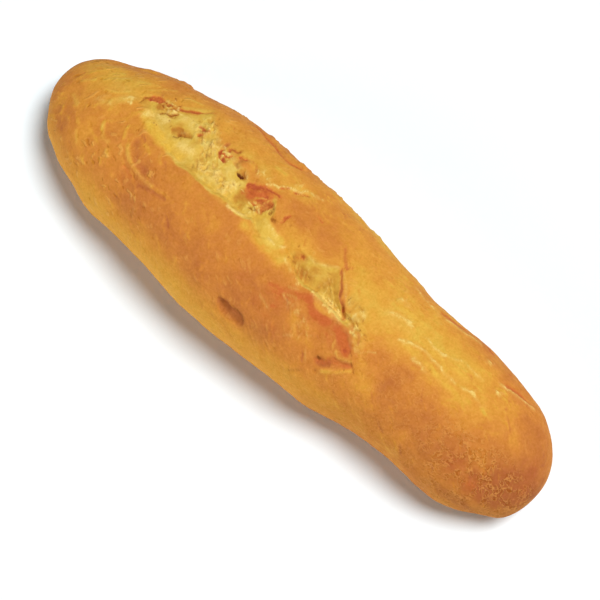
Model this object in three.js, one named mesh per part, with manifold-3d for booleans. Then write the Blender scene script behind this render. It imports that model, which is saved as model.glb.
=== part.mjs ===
// A cheese breadstick: a short, plump stick of bread, baked on a tray, with one long slash along its top.
// Millimetres. X runs along the bread from its paler tail to its browned head, Y across it and Z up.
// The origin is at the bottom centre, on the flat sole that the bread rests on.

import * as THREE from "three";
import { mergeVertices } from "three/addons/utils/BufferGeometryUtils.js";
import Module from "manifold-3d";

// The whole bread. Lists hold equally spaced values from the tail to the head.
const LENGTH = 200;
const HALF_WIDTHS = [18, 22.5, 26.5, 28.5, 28, 25.5, 22.5, 22, 21];
const HEIGHTS = [24, 30, 36, 40, 40, 38, 35, 32, 28];
const SWAYS = [2.5, 0, 0.5, -0.5, -1, -1.5, 0, 0, 0]; // sideways drift of the middle line
const END_LENGTH = 32;
const END_POWER = 2.3;
const SECTION_POWER = 2.2;
const WAIST_SHARE = 0.42; // height of the widest line, as a share of the full height
const BELLY_DROP = 1.25; // depth of the round underside below the waist, before the tray flattens it
const SOLE_BLEND = 1.5; // radius that eases the side into the flat sole

// The slash: its raised lip, which is the ear, and the far edge of the open crumb, as [x, y] runs.
const LIP_LINE = [
  [-72, 4.8], [-64, 4.6], [-55, 0], [-48, -3], [-29, -4.4], [-22, -3.4], [-18, -4.3],
  [-13, -2.9], [-8, -5.6], [-3, -3], [1, -2.4], [12, -7.3], [16, -6.2], [31, -7.3], [40, -9.5],
];
const FAR_LINE = [
  [-72, 6.4], [-65, 11.2], [-57, 12.6], [-49, 18], [-38, 10], [-26, 9], [-22, 7], [-12, 9],
  [-9, 3.2], [2, 0.4], [10, 1.2], [16, 5], [23, -2], [28, -5], [40, -6.9],
];
const LIP_RISES = [[-72, 0], [-62, 0.5], [-40, 0.9], [-20, 1.2], [0, 0.8], [18, 1.8], [31, 1.5], [38, 0]];
const FLOOR_DROPS = [[-72, 0], [-64, 1.2], [-45, 2], [-20, 2.4], [0, 1.5], [16, 2.6], [26, 2], [33, 0]];
const LIP_STEP = 1.1; // width of the steep face below the lip
const EAR_REACH = 13; // how far the ear's swelling spreads over the near crust
const FAR_REACH = 8; // how far the far crust's swelling spreads
const FAR_RISE_SHARE = 0.45; // height of the far edge, as a share of the lip's
const FLOOR_CURVE = 1.6; // power of the floor's rise from the foot of the lip to the far edge
const LEAST_GAP = 2.6; // least width from the lip to the far line, also past the ends of the slash

// Torn crumb on the floor of the slash
const CRAG_HEIGHT = 0.9;
const CRAG_LENGTH = 7;
const CRAG_SPREAD = 1.15; // over 1, so that the crags reach a little past both edges of the floor

// Slow unevenness of the whole crust
const LUMP_HEIGHT = 0.35;
const LUMP_LENGTH = 26;

// Where the relief dies away: between these sines of the angle on the sides, and where the ends get narrow
const SIDE_FADE = [-0.5, 0.3];
const FULL_RELIEF_WIDTH = 16;

// Raised (positive) and sunken (negative) marks on the crust: a run of [x, y] points, half width and height.
const MARKS = [
  { run: [[-61, -6.7], [-56, -10.6], [-47, -13.3], [-36, -13]], reach: 3.4, rise: 0.8 }, // near-side fold
  { run: [[-56, -6.5], [-51, -9.5]], reach: 3, rise: -0.7 }, // hollow beside the fold
  { run: [[-27.5, 10.4], [-26.5, 8.8]], reach: 3.4, rise: 1.3 }, // blister at the edge of the crumb
  { run: [[-17, 6.4], [-12, 3.6]], reach: 3.2, rise: -1.5 }, // torn cavity under the far crust
  { run: [[4.4, -2.2], [7, -0.6]], reach: 2.4, rise: -1.2 }, // pores at the second opening
  { run: [[16.4, 6.9], [19.5, 1], [23.3, -2], [27, -5.4]], reach: 2.2, rise: -1.6 }, // far-side crease
  { run: [[-12, 13.6], [-4, 18.6]], reach: 2.4, rise: 0.6 }, // torn ridge of the far crust
  { run: [[31, -22], [39, -17]], reach: 3.4, rise: 0.6 }, // rim below the pocket
  { run: [[43, 2], [56, 2.7]], reach: 2.4, rise: 0.4 }, // wrinkles on the head
  { run: [[47, 7], [71, 8]], reach: 2.4, rise: 0.4 },
  { run: [[51, -0.6], [76, 0.2]], reach: 2.4, rise: 0.35 },
];

// Hollows with a sharp rim: ellipsoids of these half sizes, sunk into the crust at [x, y] and turned on it.
const HOLLOWS = [
  { at: [0, -24.7], halfSizes: [5.6, 2.1, 2.4], sunk: 0.2, turn: 0 }, // burst bubble on the near side
  { at: [-25.4, 5.4], halfSizes: [1.5, 1.1, 3], sunk: 0.9, turn: 0.9 }, // hole beside the blister
  { at: [29.6, -18.7], halfSizes: [1.5, 1.3, 2.4], sunk: 1.2, turn: 0.6 }, // pit at the end of the pocket
  { at: [34, -16.6], halfSizes: [5.6, 1.7, 2.4], sunk: 1, turn: 0.6 }, // pocket under the end of the ear
  { at: [36, -11.4], halfSizes: [5, 0.9, 1.4], sunk: 0.3, turn: -0.75 }, // crease from the lip to the pocket
];

// Mesh steps
const END_RINGS = 10;
const BODY_RINGS = 80;
const FAR_STEPS = 15; // from the far edge of the sole up to the far line
const FLOOR_STEPS = 10; // across the open crumb
const FACE_STEPS = 2; // down the steep face
const NEAR_STEPS = 18; // from the lip down to the near edge of the sole
const SOLE_STEPS = 4;
const HOLLOW_SIDES = 14;
const HOLLOW_BANDS = 10;
const EDGE_LIMIT = 0.75; // the slash's lines stay within this share of the half width

// A smooth curve through equally spaced values, from the tail to the head.
function along(values, x) {
  const last = values.length - 1;
  const place = THREE.MathUtils.clamp((x / LENGTH + 0.5) * last, 0, last);
  const step = Math.min(Math.floor(place), last - 1);
  const f = place - step;
  const value = (k) => values[THREE.MathUtils.clamp(k, 0, last)];
  const [a, b, c, d] = [value(step - 1), value(step), value(step + 1), value(step + 2)];
  return b + 0.5 * f * (c - a + f * (2 * a - 5 * b + 4 * c - d + f * (3 * (b - c) + d - a)));
}

// Straight runs between [x, value] pairs, level beyond both ends.
function between(pairs, x) {
  const next = pairs.findIndex(([px]) => px >= x);
  if (next === 0) return pairs[0][1];
  if (next < 0) return pairs.at(-1)[1];
  const [[x0, v0], [x1, v1]] = [pairs[next - 1], pairs[next]];
  return THREE.MathUtils.mapLinear(x, x0, x1, v0, v1);
}

// A soft hill: 1 at no distance, 0 from the reach outwards.
function hill(distance, reach) {
  const t = Math.min(1, Math.abs(distance) / reach);
  return (1 - t * t) ** 2;
}

// Slow waves in a fixed, uneven mix, from -1 to 1.
function waves(x, y, length) {
  const [u, v] = [(x * 2 * Math.PI) / length, (y * 2 * Math.PI) / length];
  const long = Math.sin(u + 0.8 * v + 0.4) + Math.sin(1.3 * v - 0.5 * u + 2.1);
  const short = Math.sin(1.9 * u - 0.7 * v + 1.3) + Math.sin(1.7 * u + 1.6 * v + 4.2);
  return (long + 0.7 * short) / 3.4;
}

function distanceToRun(run, x, y) {
  const point = new THREE.Vector3(x, y, 0);
  const near = new THREE.Vector3();
  let least = Infinity;
  for (let k = 1; k < run.length; k++) {
    const line = new THREE.Line3(new THREE.Vector3(...run[k - 1], 0), new THREE.Vector3(...run[k], 0));
    least = Math.min(least, line.closestPointToPoint(point, true, near).distanceTo(point));
  }
  return least;
}

// The sizes of the cross-section at x, with both ends rounded off to a point.
function sectionAt(x) {
  const past = Math.max(0, (Math.abs(x) - LENGTH / 2 + END_LENGTH) / END_LENGTH);
  const round = Math.max(0, 1 - past ** END_POWER) ** (1 / END_POWER);
  const height = along(HEIGHTS, x);
  const waist = WAIST_SHARE * height;
  return {
    middle: along(SWAYS, x),
    halfWidth: along(HALF_WIDTHS, x) * round,
    waist,
    crown: (height - waist) * round,
    belly: waist * BELLY_DROP * round,
  };
}

// Height of the relief at plan place x, y: the slash with its ear and crags, then the marks.
function upperRelief(x, y) {
  const lip = between(LIP_LINE, x);
  const far = Math.max(between(FAR_LINE, x), lip + LEAST_GAP);
  const rise = between(LIP_RISES, x);
  const drop = between(FLOOR_DROPS, x);
  const farRise = rise * FAR_RISE_SHARE;
  const foot = lip + LIP_STEP;
  let height;
  if (y <= lip) {
    height = rise * hill(y - lip, EAR_REACH);
  } else if (y <= foot) {
    height = THREE.MathUtils.mapLinear(y, lip, foot, rise, -drop);
  } else if (y <= far) {
    const share = (y - foot) / (far - foot);
    const cragHeight = CRAG_HEIGHT * Math.min(1, drop) * hill(2 * share - 1, CRAG_SPREAD);
    const crags = cragHeight * waves(x, y, CRAG_LENGTH);
    height = THREE.MathUtils.lerp(-drop, farRise, share ** FLOOR_CURVE) + crags;
  } else {
    height = farRise * hill(y - far, FAR_REACH);
  }
  for (const mark of MARKS) height += mark.rise * hill(distanceToRun(mark.run, x, y), mark.reach);
  return height;
}

// A point of the crust at x and at an angle round the section: 0 on the far side, a quarter turn at the top.
function crustPoint(x, angle) {
  const { middle, halfWidth, waist, crown, belly } = sectionAt(x);
  const [c, s] = [Math.cos(angle), Math.sin(angle)];
  const power = 2 / SECTION_POWER;
  const across = Math.sign(c) * Math.abs(c) ** power;
  const up = Math.sign(s) * Math.abs(s) ** power;
  const y = middle + halfWidth * across;
  const z = waist + up * (s > 0 ? crown : belly);
  const outward = new THREE.Vector2(c / Math.max(halfWidth, 1), s / Math.max(crown, 1)).normalize();
  const sideFade = THREE.MathUtils.smoothstep(s, ...SIDE_FADE);
  const lumps = LUMP_HEIGHT * waves(x, halfWidth * angle, LUMP_LENGTH);
  const endFade = Math.min(1, halfWidth / FULL_RELIEF_WIDTH);
  const lift = (upperRelief(x, y) + lumps) * sideFade * endFade;
  return new THREE.Vector3(x, y + outward.x * lift, onTray(z + outward.y * lift));
}

// Heights below the tray become the flat sole, eased over the blend radius.
function onTray(z) {
  if (z <= -SOLE_BLEND) return 0;
  return z >= SOLE_BLEND ? z : (z + SOLE_BLEND) ** 2 / (4 * SOLE_BLEND);
}

// Angles round one ring. Steps fall on the far line, the foot and the lip, so the slash has clean edges.
function ringAngles(x) {
  const { middle, halfWidth, waist, belly } = sectionAt(x);
  const angleOf = (y) => {
    const across = THREE.MathUtils.clamp((y - middle) / Math.max(halfWidth, 1), -EDGE_LIMIT, EDGE_LIMIT);
    return Math.acos(Math.sign(across) * Math.abs(across) ** (SECTION_POWER / 2));
  };
  const lip = between(LIP_LINE, x);
  const far = Math.max(between(FAR_LINE, x), lip + LEAST_GAP);
  const below = Math.asin(Math.min(1, waist / Math.max(belly, waist)) ** (SECTION_POWER / 2));
  const slashStops = [angleOf(far), angleOf(lip + LIP_STEP), angleOf(lip)];
  const stops = [-below, ...slashStops, Math.PI + below, 2 * Math.PI - below];
  const steps = [FAR_STEPS, FLOOR_STEPS, FACE_STEPS, NEAR_STEPS, SOLE_STEPS];
  return steps.flatMap((count, k) =>
    Array.from({ length: count }, (_, i) => THREE.MathUtils.lerp(stops[k], stops[k + 1], i / count)),
  );
}

// Ring places along X: even steps down the body, closing up round both ends.
function ringPlaces() {
  const body = LENGTH / 2 - END_LENGTH;
  const endTurn = (k) => body + END_LENGTH * Math.sin((k / END_RINGS) * (Math.PI / 2));
  const ends = Array.from({ length: END_RINGS - 1 }, (_, k) => endTurn(k + 1));
  const middle = Array.from({ length: BODY_RINGS + 1 }, (_, k) => -body + (2 * body * k) / BODY_RINGS);
  return [...ends.map((x) => -x).reverse(), ...middle, ...ends];
}

// The closed crust: rings of points, stitched to each other and to a tip at each end.
function crustGeometry() {
  const rings = ringPlaces().map((x) => ringAngles(x).map((angle) => crustPoint(x, angle)));
  const sides = rings[0].length;
  const tips = [crustPoint(-LENGTH / 2, 0), crustPoint(LENGTH / 2, 0)];
  const points = [...rings.flat(), ...tips];
  const [tailTip, headTip] = [points.length - 2, points.length - 1];
  const faces = [];
  for (let k = 0; k < sides; k++) {
    const next = (k + 1) % sides;
    faces.push(tailTip, next, k);
    for (let ring = 0; ring < rings.length - 1; ring++) {
      const [here, there] = [ring * sides, (ring + 1) * sides];
      faces.push(here + k, here + next, there + next, here + k, there + next, there + k);
    }
    const lastRing = (rings.length - 1) * sides;
    faces.push(headTip, lastRing + k, lastRing + next);
  }
  const geometry = new THREE.BufferGeometry().setFromPoints(points);
  geometry.setIndex(faces);
  return geometry;
}

// The ellipsoid that makes one hollow, lying along the crust at its place.
function hollowGeometry({ at: [x, y], halfSizes, sunk, turn }) {
  const { middle, halfWidth } = sectionAt(x);
  const across = (y - middle) / halfWidth;
  const angle = Math.acos(Math.sign(across) * Math.abs(across) ** (SECTION_POWER / 2));
  const place = crustPoint(x, angle);
  const outward = new THREE.Vector3(0, Math.cos(angle), Math.sin(angle));
  const lean = new THREE.Quaternion().setFromUnitVectors(new THREE.Vector3(0, 0, 1), outward);
  const geometry = new THREE.SphereGeometry(1, HOLLOW_SIDES, HOLLOW_BANDS);
  geometry.scale(...halfSizes).rotateZ(turn).applyQuaternion(lean);
  return geometry.translate(...place.addScaledVector(outward, -sunk).toArray());
}

const wasm = await Module();
wasm.setup();

function solidOf(geometry) {
  for (const name of ["normal", "uv"]) geometry.deleteAttribute(name);
  const merged = mergeVertices(geometry);
  return new wasm.Manifold(
    new wasm.Mesh({
      numProp: 3,
      vertProperties: new Float32Array(merged.attributes.position.array),
      triVerts: new Uint32Array(merged.index.array),
    }),
  );
}

function geometryOf(solid) {
  const { vertProperties, triVerts } = solid.getMesh();
  const geometry = new THREE.BufferGeometry();
  geometry.setAttribute("position", new THREE.BufferAttribute(vertProperties, 3));
  geometry.setIndex(new THREE.BufferAttribute(triVerts, 1));
  return geometry;
}

// Moves the bread so that its origin is at the bottom centre.
function centred(geometry) {
  geometry.computeBoundingBox();
  const { min, max } = geometry.boundingBox;
  geometry.translate(-(min.x + max.x) / 2, -(min.y + max.y) / 2, -min.z);
  geometry.computeVertexNormals();
  return geometry;
}

const bread = HOLLOWS.reduce(
  (solid, hollow) => solid.subtract(solidOf(hollowGeometry(hollow))),
  solidOf(crustGeometry()),
);
const crust = new THREE.MeshStandardMaterial({ color: 0xd78b3c, roughness: 0.62, metalness: 0 });
const breadstick = new THREE.Mesh(centred(geometryOf(bread)), crust);
breadstick.name = "breadstick";

const part = new THREE.Group();
part.add(breadstick);

export default part;
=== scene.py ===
"""Looks of the cheese breadstick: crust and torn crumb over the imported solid, with camera and light."""
import math

import bpy
import numpy as np
from mathutils import Matrix, Vector, noise


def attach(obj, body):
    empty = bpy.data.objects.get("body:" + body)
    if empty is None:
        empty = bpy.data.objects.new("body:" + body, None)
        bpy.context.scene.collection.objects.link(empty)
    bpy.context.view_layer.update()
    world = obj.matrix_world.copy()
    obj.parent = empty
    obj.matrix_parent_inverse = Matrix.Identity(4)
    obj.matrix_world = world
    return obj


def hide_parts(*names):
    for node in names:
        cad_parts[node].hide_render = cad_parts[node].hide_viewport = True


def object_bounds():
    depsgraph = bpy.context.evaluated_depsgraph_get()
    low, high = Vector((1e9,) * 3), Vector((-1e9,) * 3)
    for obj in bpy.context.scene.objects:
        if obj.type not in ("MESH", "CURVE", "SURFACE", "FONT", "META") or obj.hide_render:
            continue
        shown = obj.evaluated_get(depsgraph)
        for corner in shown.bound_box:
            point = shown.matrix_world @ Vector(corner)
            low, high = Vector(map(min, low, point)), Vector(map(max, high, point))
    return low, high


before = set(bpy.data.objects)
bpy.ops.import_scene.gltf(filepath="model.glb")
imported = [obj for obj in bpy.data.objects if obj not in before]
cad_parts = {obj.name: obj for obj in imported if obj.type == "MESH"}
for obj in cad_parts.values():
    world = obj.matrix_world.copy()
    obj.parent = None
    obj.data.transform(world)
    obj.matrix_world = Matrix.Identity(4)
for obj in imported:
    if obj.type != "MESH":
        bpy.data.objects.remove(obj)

CAD_LOW, CAD_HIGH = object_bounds()
MM = 0.001

# The whole bread, in millimetres. Lists hold equally spaced values from the tail to the head.
LENGTH = (CAD_HIGH.x - CAD_LOW.x) / MM
HALF_WIDTHS = [18, 22.5, 26.5, 28.5, 28, 25.5, 22.5, 22, 21]
HEIGHTS = [24, 30, 36, 40, 40, 38, 35, 32, 28]
SWAYS = [2.5, 0, 0.5, -0.5, -1, -1.5, 0, 0, 0]
END_LENGTH = 32
END_POWER = 2.3
SECTION_POWER = 2.2
WAIST_SHARE = 0.42
BELLY_DROP = 1.25
SOLE_BLEND = 1.5

# The slash: its raised lip, the far edge of the open crumb, and how high, deep and steep they are along X
LIP_LINE = [
    (-76, 5.4), (-72, 4.8), (-64, 4.6), (-55, 0), (-48, -3), (-29, -4.4), (-22, -3.4), (-18, -4.3),
    (-13, -2.9), (-8, -5.6), (-3, -3), (1, -2.4), (12, -7.3), (16, -6.2), (31, -7.3), (40, -9.5),
]
FAR_LINE = [
    (-84, 14), (-72, 6.8), (-65, 11.2), (-57, 12.6), (-49, 18), (-38, 10), (-26, 8.6), (-22, 5.8), (-17, 6.8),
    (-12, 7.6), (-9, 3.2), (2, 0.4), (10, 1.2), (16, 5), (23, -2), (28, -4.6), (34, -4), (48, 9),
]
LIP_RISES = [
    (-72, 0), (-62, 0.2), (-40, 0.5), (-20, 0.7), (-12, 0.4), (-6, 0.2), (2, 0.3), (8, 0.8), (18, 1),
    (31, 0.9), (38, 0),
]
FAR_RISES = [(-72, 0), (-60, 0.4), (-20, 0.7), (0, 0.4), (18, 0.6), (27, 0)]
FLOOR_DROPS = [
    (-72, 0), (-64, 1), (-45, 1.4), (-20, 1.8), (-12, 1.1), (-7, 0.3), (1, 0.3), (7, 1.1), (14, 1.6),
    (26, 1.5), (32, 0),
]
LIP_STEPS = [(-66, 2.6), (-50, 2.6), (-14, 2.4), (-8, 1.6), (0, 1.2), (5, 1.4), (12, 1.8)]
LIP_SOFTS = [(-70, 3), (-50, 2.4), (-42, 0.7), (-14, 0.7), (-9, 3), (3, 2), (9, 0.6)]
FAR_SOFTS = [(-70, 1.5), (-55, 1.5), (-47, 4), (-25, 4), (-21, 1.6), (8, 2)]
EAR_REACH = 13
FAR_REACH = 8
FLOOR_CURVE = 1.6
LEAST_GAP = 1.5

# How far across the half width the mesh follows the slash, and the shares of a soft lip on its two sides
MOST_ACROSS = 0.75
LIP_SPLIT = (-0.3, 0.7)

# Slow unevenness of the whole crust
LUMP_HEIGHT = 0.35
LUMP_LENGTH = 26

# Where the relief dies away: between these sines on the sides and the sole, and where the ends get narrow
SIDE_FADE = (-0.5, 0.3)
SOLE_FADE = (0.55, 0.75)
FULL_RELIEF_WIDTH = 16

# How far each seed shifts the noise
SEED_STEPS = (17.3, 5.1, 9.7)

# Layers of noise as (amount, wave size, seed): ragged edges of the slash, grain of the crust, and how the
# edges of marks wander along X and round the girth and break up
LIP_RAGGED = [(0.35, 3.1, 1), (0.2, 1.1, 2)]
FAR_RAGGED = [(0.5, 3.7, 3), (0.25, 1.3, 4)]
GRAIN = [(0.22, 9, 31), (0.14, 3.6, 32), (0.06, 1.7, 33)]
WANDERS = [[(0.2, 1.2, seed), (0.35, 2.6, seed + 1), (0.6, 7, seed + 2)] for seed in (11, 15)]
BREAKS = [(1.6, 2.9, 19), (0.8, 1.3, 20)]
OPENING_WANDER = 0.8

# How far past its reach a mark is looked for, and the most that breaking up adds to it
MARK_MARGIN = 2
MOST_SHARE = 1.3

# Torn crumb: layers of (height, wave size, seed), how thin its walls are, and how its hollows get painted
# shade and its crests a painted highlight
CRUMB_WALLS = [(0.36, 3.6, 24), (0.2, 1.7, 25)]
CRUMB_SWELL = [(0.25, 5, 26)]
CRUMB_BENDS = [[(1.2, 3, seed)] for seed in (21, 22, 23)]
WALL_THINNESS = 3
WALL_MIDDLE = 0.4
HOLLOW_DEPTHS = (0.1, 0.3)
HOLLOW_SHADE = 0.18
CREST_HEIGHTS = (0.06, 0.3)
CREST_HIGHLIGHT = 0.35
LEAST_TORN = 0.01
TORN_GAIN = 2

# Mesh steps: along X in runs of (from, to, step), and round the section from the far edge of the sole
END_RINGS = 86
BODY_RUNS = [(-68, 42, 0.45), (42, 68, 0.6)]
RING_STEPS = {"far": 60, "floor": 50, "face": 8, "near": 80, "sole": 14}
FAR_GRADE = 0.75
NEAR_GRADE = 1.3

# The camera, at the photograph's angle, and its aim in the form's own coordinates
CAMERA_AZIMUTH = 43.4
CAMERA_ELEVATION = 68
CAMERA_DISTANCE = 680
CAMERA_AIM = (8, -3.4, 15)
CAMERA_LENS = 135
CAMERA_SENSOR = 36
CAMERA_CLIP = (0.01, 20)


def smooth(value, low, high):
    """Eases from 0 at low to 1 at high."""
    share = np.clip((value - low) / (high - low), 0, 1)
    return share * share * (3 - 2 * share)


def hill(distance, reach):
    """A soft hill: 1 at no distance, 0 from the reach outwards."""
    share = np.clip(np.abs(distance) / reach, 0, 1)
    return (1 - share * share) ** 2


def between(pairs, x):
    """Straight runs between (x, value) pairs, level beyond both ends."""
    places, values = zip(*pairs)
    return np.interp(x, places, values)


def along(values, x):
    """A smooth curve through equally spaced values, from the tail to the head."""
    values = np.asarray(values, float)
    last = len(values) - 1
    place = np.clip((x / LENGTH + 0.5) * last, 0, last)
    step = np.minimum(place.astype(int), last - 1)
    f = place - step
    a, b, c, d = (values[np.clip(step + k, 0, last)] for k in (-1, 0, 1, 2))
    return b + 0.5 * f * (c - a + f * (2 * a - 5 * b + 4 * c - d + f * (3 * (b - c) + d - a)))


def waves(x, y, length):
    """Slow waves in a fixed, uneven mix, from -1 to 1."""
    u, v = x * 2 * math.pi / length, y * 2 * math.pi / length
    long = np.sin(u + 0.8 * v + 0.4) + np.sin(1.3 * v - 0.5 * u + 2.1)
    short = np.sin(1.9 * u - 0.7 * v + 1.3) + np.sin(1.7 * u + 1.6 * v + 4.2)
    return (long + 0.7 * short) / 3.4


def run_distance(run, x, y):
    """Distance from each place to a run of (x, y) points."""
    least = np.full(np.shape(x), np.inf)
    starts = run[:-1] or run
    ends = run[1:] or run
    for (x0, y0), (x1, y1) in zip(starts, ends):
        dx, dy = x1 - x0, y1 - y0
        share = np.clip(((x - x0) * dx + (y - y0) * dy) / max(dx * dx + dy * dy, 1e-9), 0, 1)
        least = np.minimum(least, np.hypot(x - x0 - share * dx, y - y0 - share * dy))
    return least


def noise_at(points, size, seed):
    """Smooth noise from about -1 to 1 at points in millimetres, with waves of the given size."""
    shift = Vector([seed * step for step in SEED_STEPS])
    flat = points.reshape(-1, 3) / size
    found = [noise.noise(Vector(p) + shift) for p in flat]
    return np.array(found).reshape(points.shape[:-1])


def layers_at(points, layers):
    """The sum of layers of noise, each (amount, wave size, seed)."""
    return sum(amount * noise_at(points, size, seed) for amount, size, seed in layers)


class Section:
    """Sizes of the cross-section at each x, with both ends rounded off to a point."""

    def __init__(self, x):
        past = np.maximum(0, (np.abs(x) - LENGTH / 2 + END_LENGTH) / END_LENGTH)
        rounding = np.maximum(0, 1 - past**END_POWER) ** (1 / END_POWER)
        height = along(HEIGHTS, x)
        self.middle = along(SWAYS, x)
        self.half_width = along(HALF_WIDTHS, x) * rounding
        self.waist = WAIST_SHARE * height
        self.crown = (height - self.waist) * rounding
        self.belly = self.waist * BELLY_DROP * rounding

    def angle_of(self, y, most=0.98):
        """Angle round the upper half of the section at a place across it."""
        across = np.clip((y - self.middle) / np.maximum(self.half_width, 1), -most, most)
        return np.arccos(np.sign(across) * np.abs(across) ** (SECTION_POWER / 2))


# How marks vary: shares of size, stray of direction in degrees, share of bend, and how broken they are
CRUMB_HALVES = (0, 1.4)
CRUMB_SIZES = (0.7, 1.3)
WRINKLE_HALVES = (0.2, 0.6)
WRINKLE_SIZES = (0.6, 1.2)
WRINKLE_STRAY = 16
WRINKLE_BEND = 0.25
WRINKLE_SOFT = 1.0
WRINKLE_BROKEN = 1.0
PATCH_BROKEN = 0.3


# Marks on the bread. Each runs along (x, y) points in plan and has a half width in millimetres, a softness of
# its edge, how broken it is, and what it adds: lift in millimetres, and shares of values stored on the mesh.
def mark(run, reach, soft=1.0, broken=0.6, **adds):
    """One mark, its run turned into places along X and round the girth."""
    x, y = np.array(run, float).T
    section = Section(x)
    return list(zip(x, section.half_width * section.angle_of(y))), reach, soft, broken, adds


def patch(run, reach, **adds):
    """A mark with a soft edge that is hardly broken."""
    return mark(run, reach, broken=PATCH_BROKEN, **adds)


def bits(count, seed, run, spread, reach, **adds):
    """Small crumbs or pits strewn about a run, each short and turned its own way."""
    draw = np.random.default_rng(seed)
    x, y = np.array(run, float).T
    steps = np.arange(len(run))
    place = draw.uniform(0, len(run) - 1, count)
    x = np.interp(place, steps, x) + draw.normal(0, spread, count)
    y = np.interp(place, steps, y) + draw.normal(0, spread, count)
    turn = draw.uniform(0, math.pi, count)
    half = reach * draw.uniform(*CRUMB_HALVES, count)
    size = reach * draw.uniform(*CRUMB_SIZES, count)
    spots = zip(x, y, half * np.cos(turn), half * np.sin(turn), size)
    return [mark([(a - u, b - v), (a + u, b + v)], r, **adds) for a, b, u, v, r in spots]


def strewn(count, seed, x_range, turn_range, slant, length, reach, **adds):
    """Short wrinkles strewn over a patch of crust, between two angles round the section."""
    draw = np.random.default_rng(seed)
    x = draw.uniform(*x_range, count)
    girth = Section(x).half_width * np.radians(draw.uniform(*turn_range, count))
    way = np.radians(slant + draw.normal(0, WRINKLE_STRAY, count))
    half = length * draw.uniform(*WRINKLE_HALVES, count)
    size = draw.uniform(*WRINKLE_SIZES, count)
    marks = []
    for k in range(count):
        step = half[k] * np.cos(way[k]), half[k] * np.sin(way[k])
        bend = draw.normal(0, WRINKLE_BEND) * half[k]
        run = [
            (x[k] - step[0], girth[k] - step[1]),
            (x[k] - bend * np.sin(way[k]), girth[k] + bend * np.cos(way[k])),
            (x[k] + step[0], girth[k] + step[1]),
        ]
        scaled = {name: amount * size[k] for name, amount in adds.items()}
        marks.append((run, reach * size[k], WRINKLE_SOFT, WRINKLE_BROKEN, scaled))
    return marks


# The torn start of the first opening, near the tail
GASH_LINE = [(-62.9, 11.1), (-61, 10.8), (-60.3, 10.6), (-59.4, 11.9)]
MOUTH_LINE = [(-60.2, 7.2), (-58.9, 7.9), (-57.3, 8.2), (-56, 9.7)]
GASH = [
    *bits(12, 62, MOUTH_LINE, 0.45, 0.5, lift=-0.15, pore=0.6, red=0.35),
    *bits(8, 63, [(-59.8, 8.4), (-56.2, 10.6)], 0.5, 0.5, lift=0.15, pale=0.6),
    mark([(-73, 3), (-69, 5)], 1.8, pale=0.2),
    mark([(-71.3, 4), (-69.9, 4.9)], 0.7, lift=0.2, pale=0.4),
    mark([(-67.3, 5), (-67.3, 8.4), (-66.5, 9.5)], 0.5, 1, 0.8, lift=-0.3, pore=0.6),
    mark([(-67.3, 8.3), (-65.6, 9)], 0.9, red=0.5),
    mark([(-65.6, 9.8), (-64.2, 10.5), (-63, 10.6)], 1.6, 0.7, 0.3,
         lift=-0.3, red=0.85, bake=0.2, crumb=-0.6),
    *bits(5, 64, [(-65.6, 9.8), (-63, 10.6)], 0.6, 0.45, lift=0.15, pale=0.5),
    mark([(-66.8, 9.9)], 0.5, lift=0.2, pale=0.5),
    mark([(-63.5, 11.8)], 0.6, lift=0.2, pale=0.4),
    *bits(14, 41, GASH_LINE, 1.1, 0.5, lift=-0.2, pore=0.55, red=0.35),
    *bits(12, 60, [(-61.5, 9.4), (-57.6, 11.2)], 1.1, 0.5, lift=-0.15, pore=0.5, red=0.4),
    *bits(10, 42, GASH_LINE, 1.1, 0.5, lift=0.15, pale=0.45),
    *bits(8, 61, [(-61.5, 9.4), (-57.6, 11.2)], 0.8, 0.5, lift=0.15, pale=0.5),
    mark([(-61.7, 9), (-58.9, 10), (-57.3, 11.6)], 2.3, crumb=-0.25, tan=0.5, torn=0.9, bake=0.05),
    mark([(-58.8, 8.1), (-57.7, 9), (-56.4, 10)], 0.8, lift=0.1, pale=0.55),
    mark(MOUTH_LINE, 0.8, 0.8, 0.2, lift=-0.25, pore=0.75, red=0.2),
    mark([(-56.9, 8.9), (-56.4, 9.5)], 0.75, lift=-0.2, pore=0.8),
    mark([(-56.4, 11.7), (-54, 13), (-51.5, 14.5)], 1.6, blush=0.45, crumb=-0.4),
    mark([(-56.4, 11.7), (-53.2, 13.7), (-51.5, 14.5), (-48.1, 17.8)], 0.8, 1, 0.5,
         lift=-0.2, blush=0.5, pore=0.25),
    mark([(-67.6, 10.6), (-63.7, 13), (-59.4, 14.4), (-55.2, 15.6), (-51, 18.6)], 2.6, lift=0.12),
]

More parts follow.
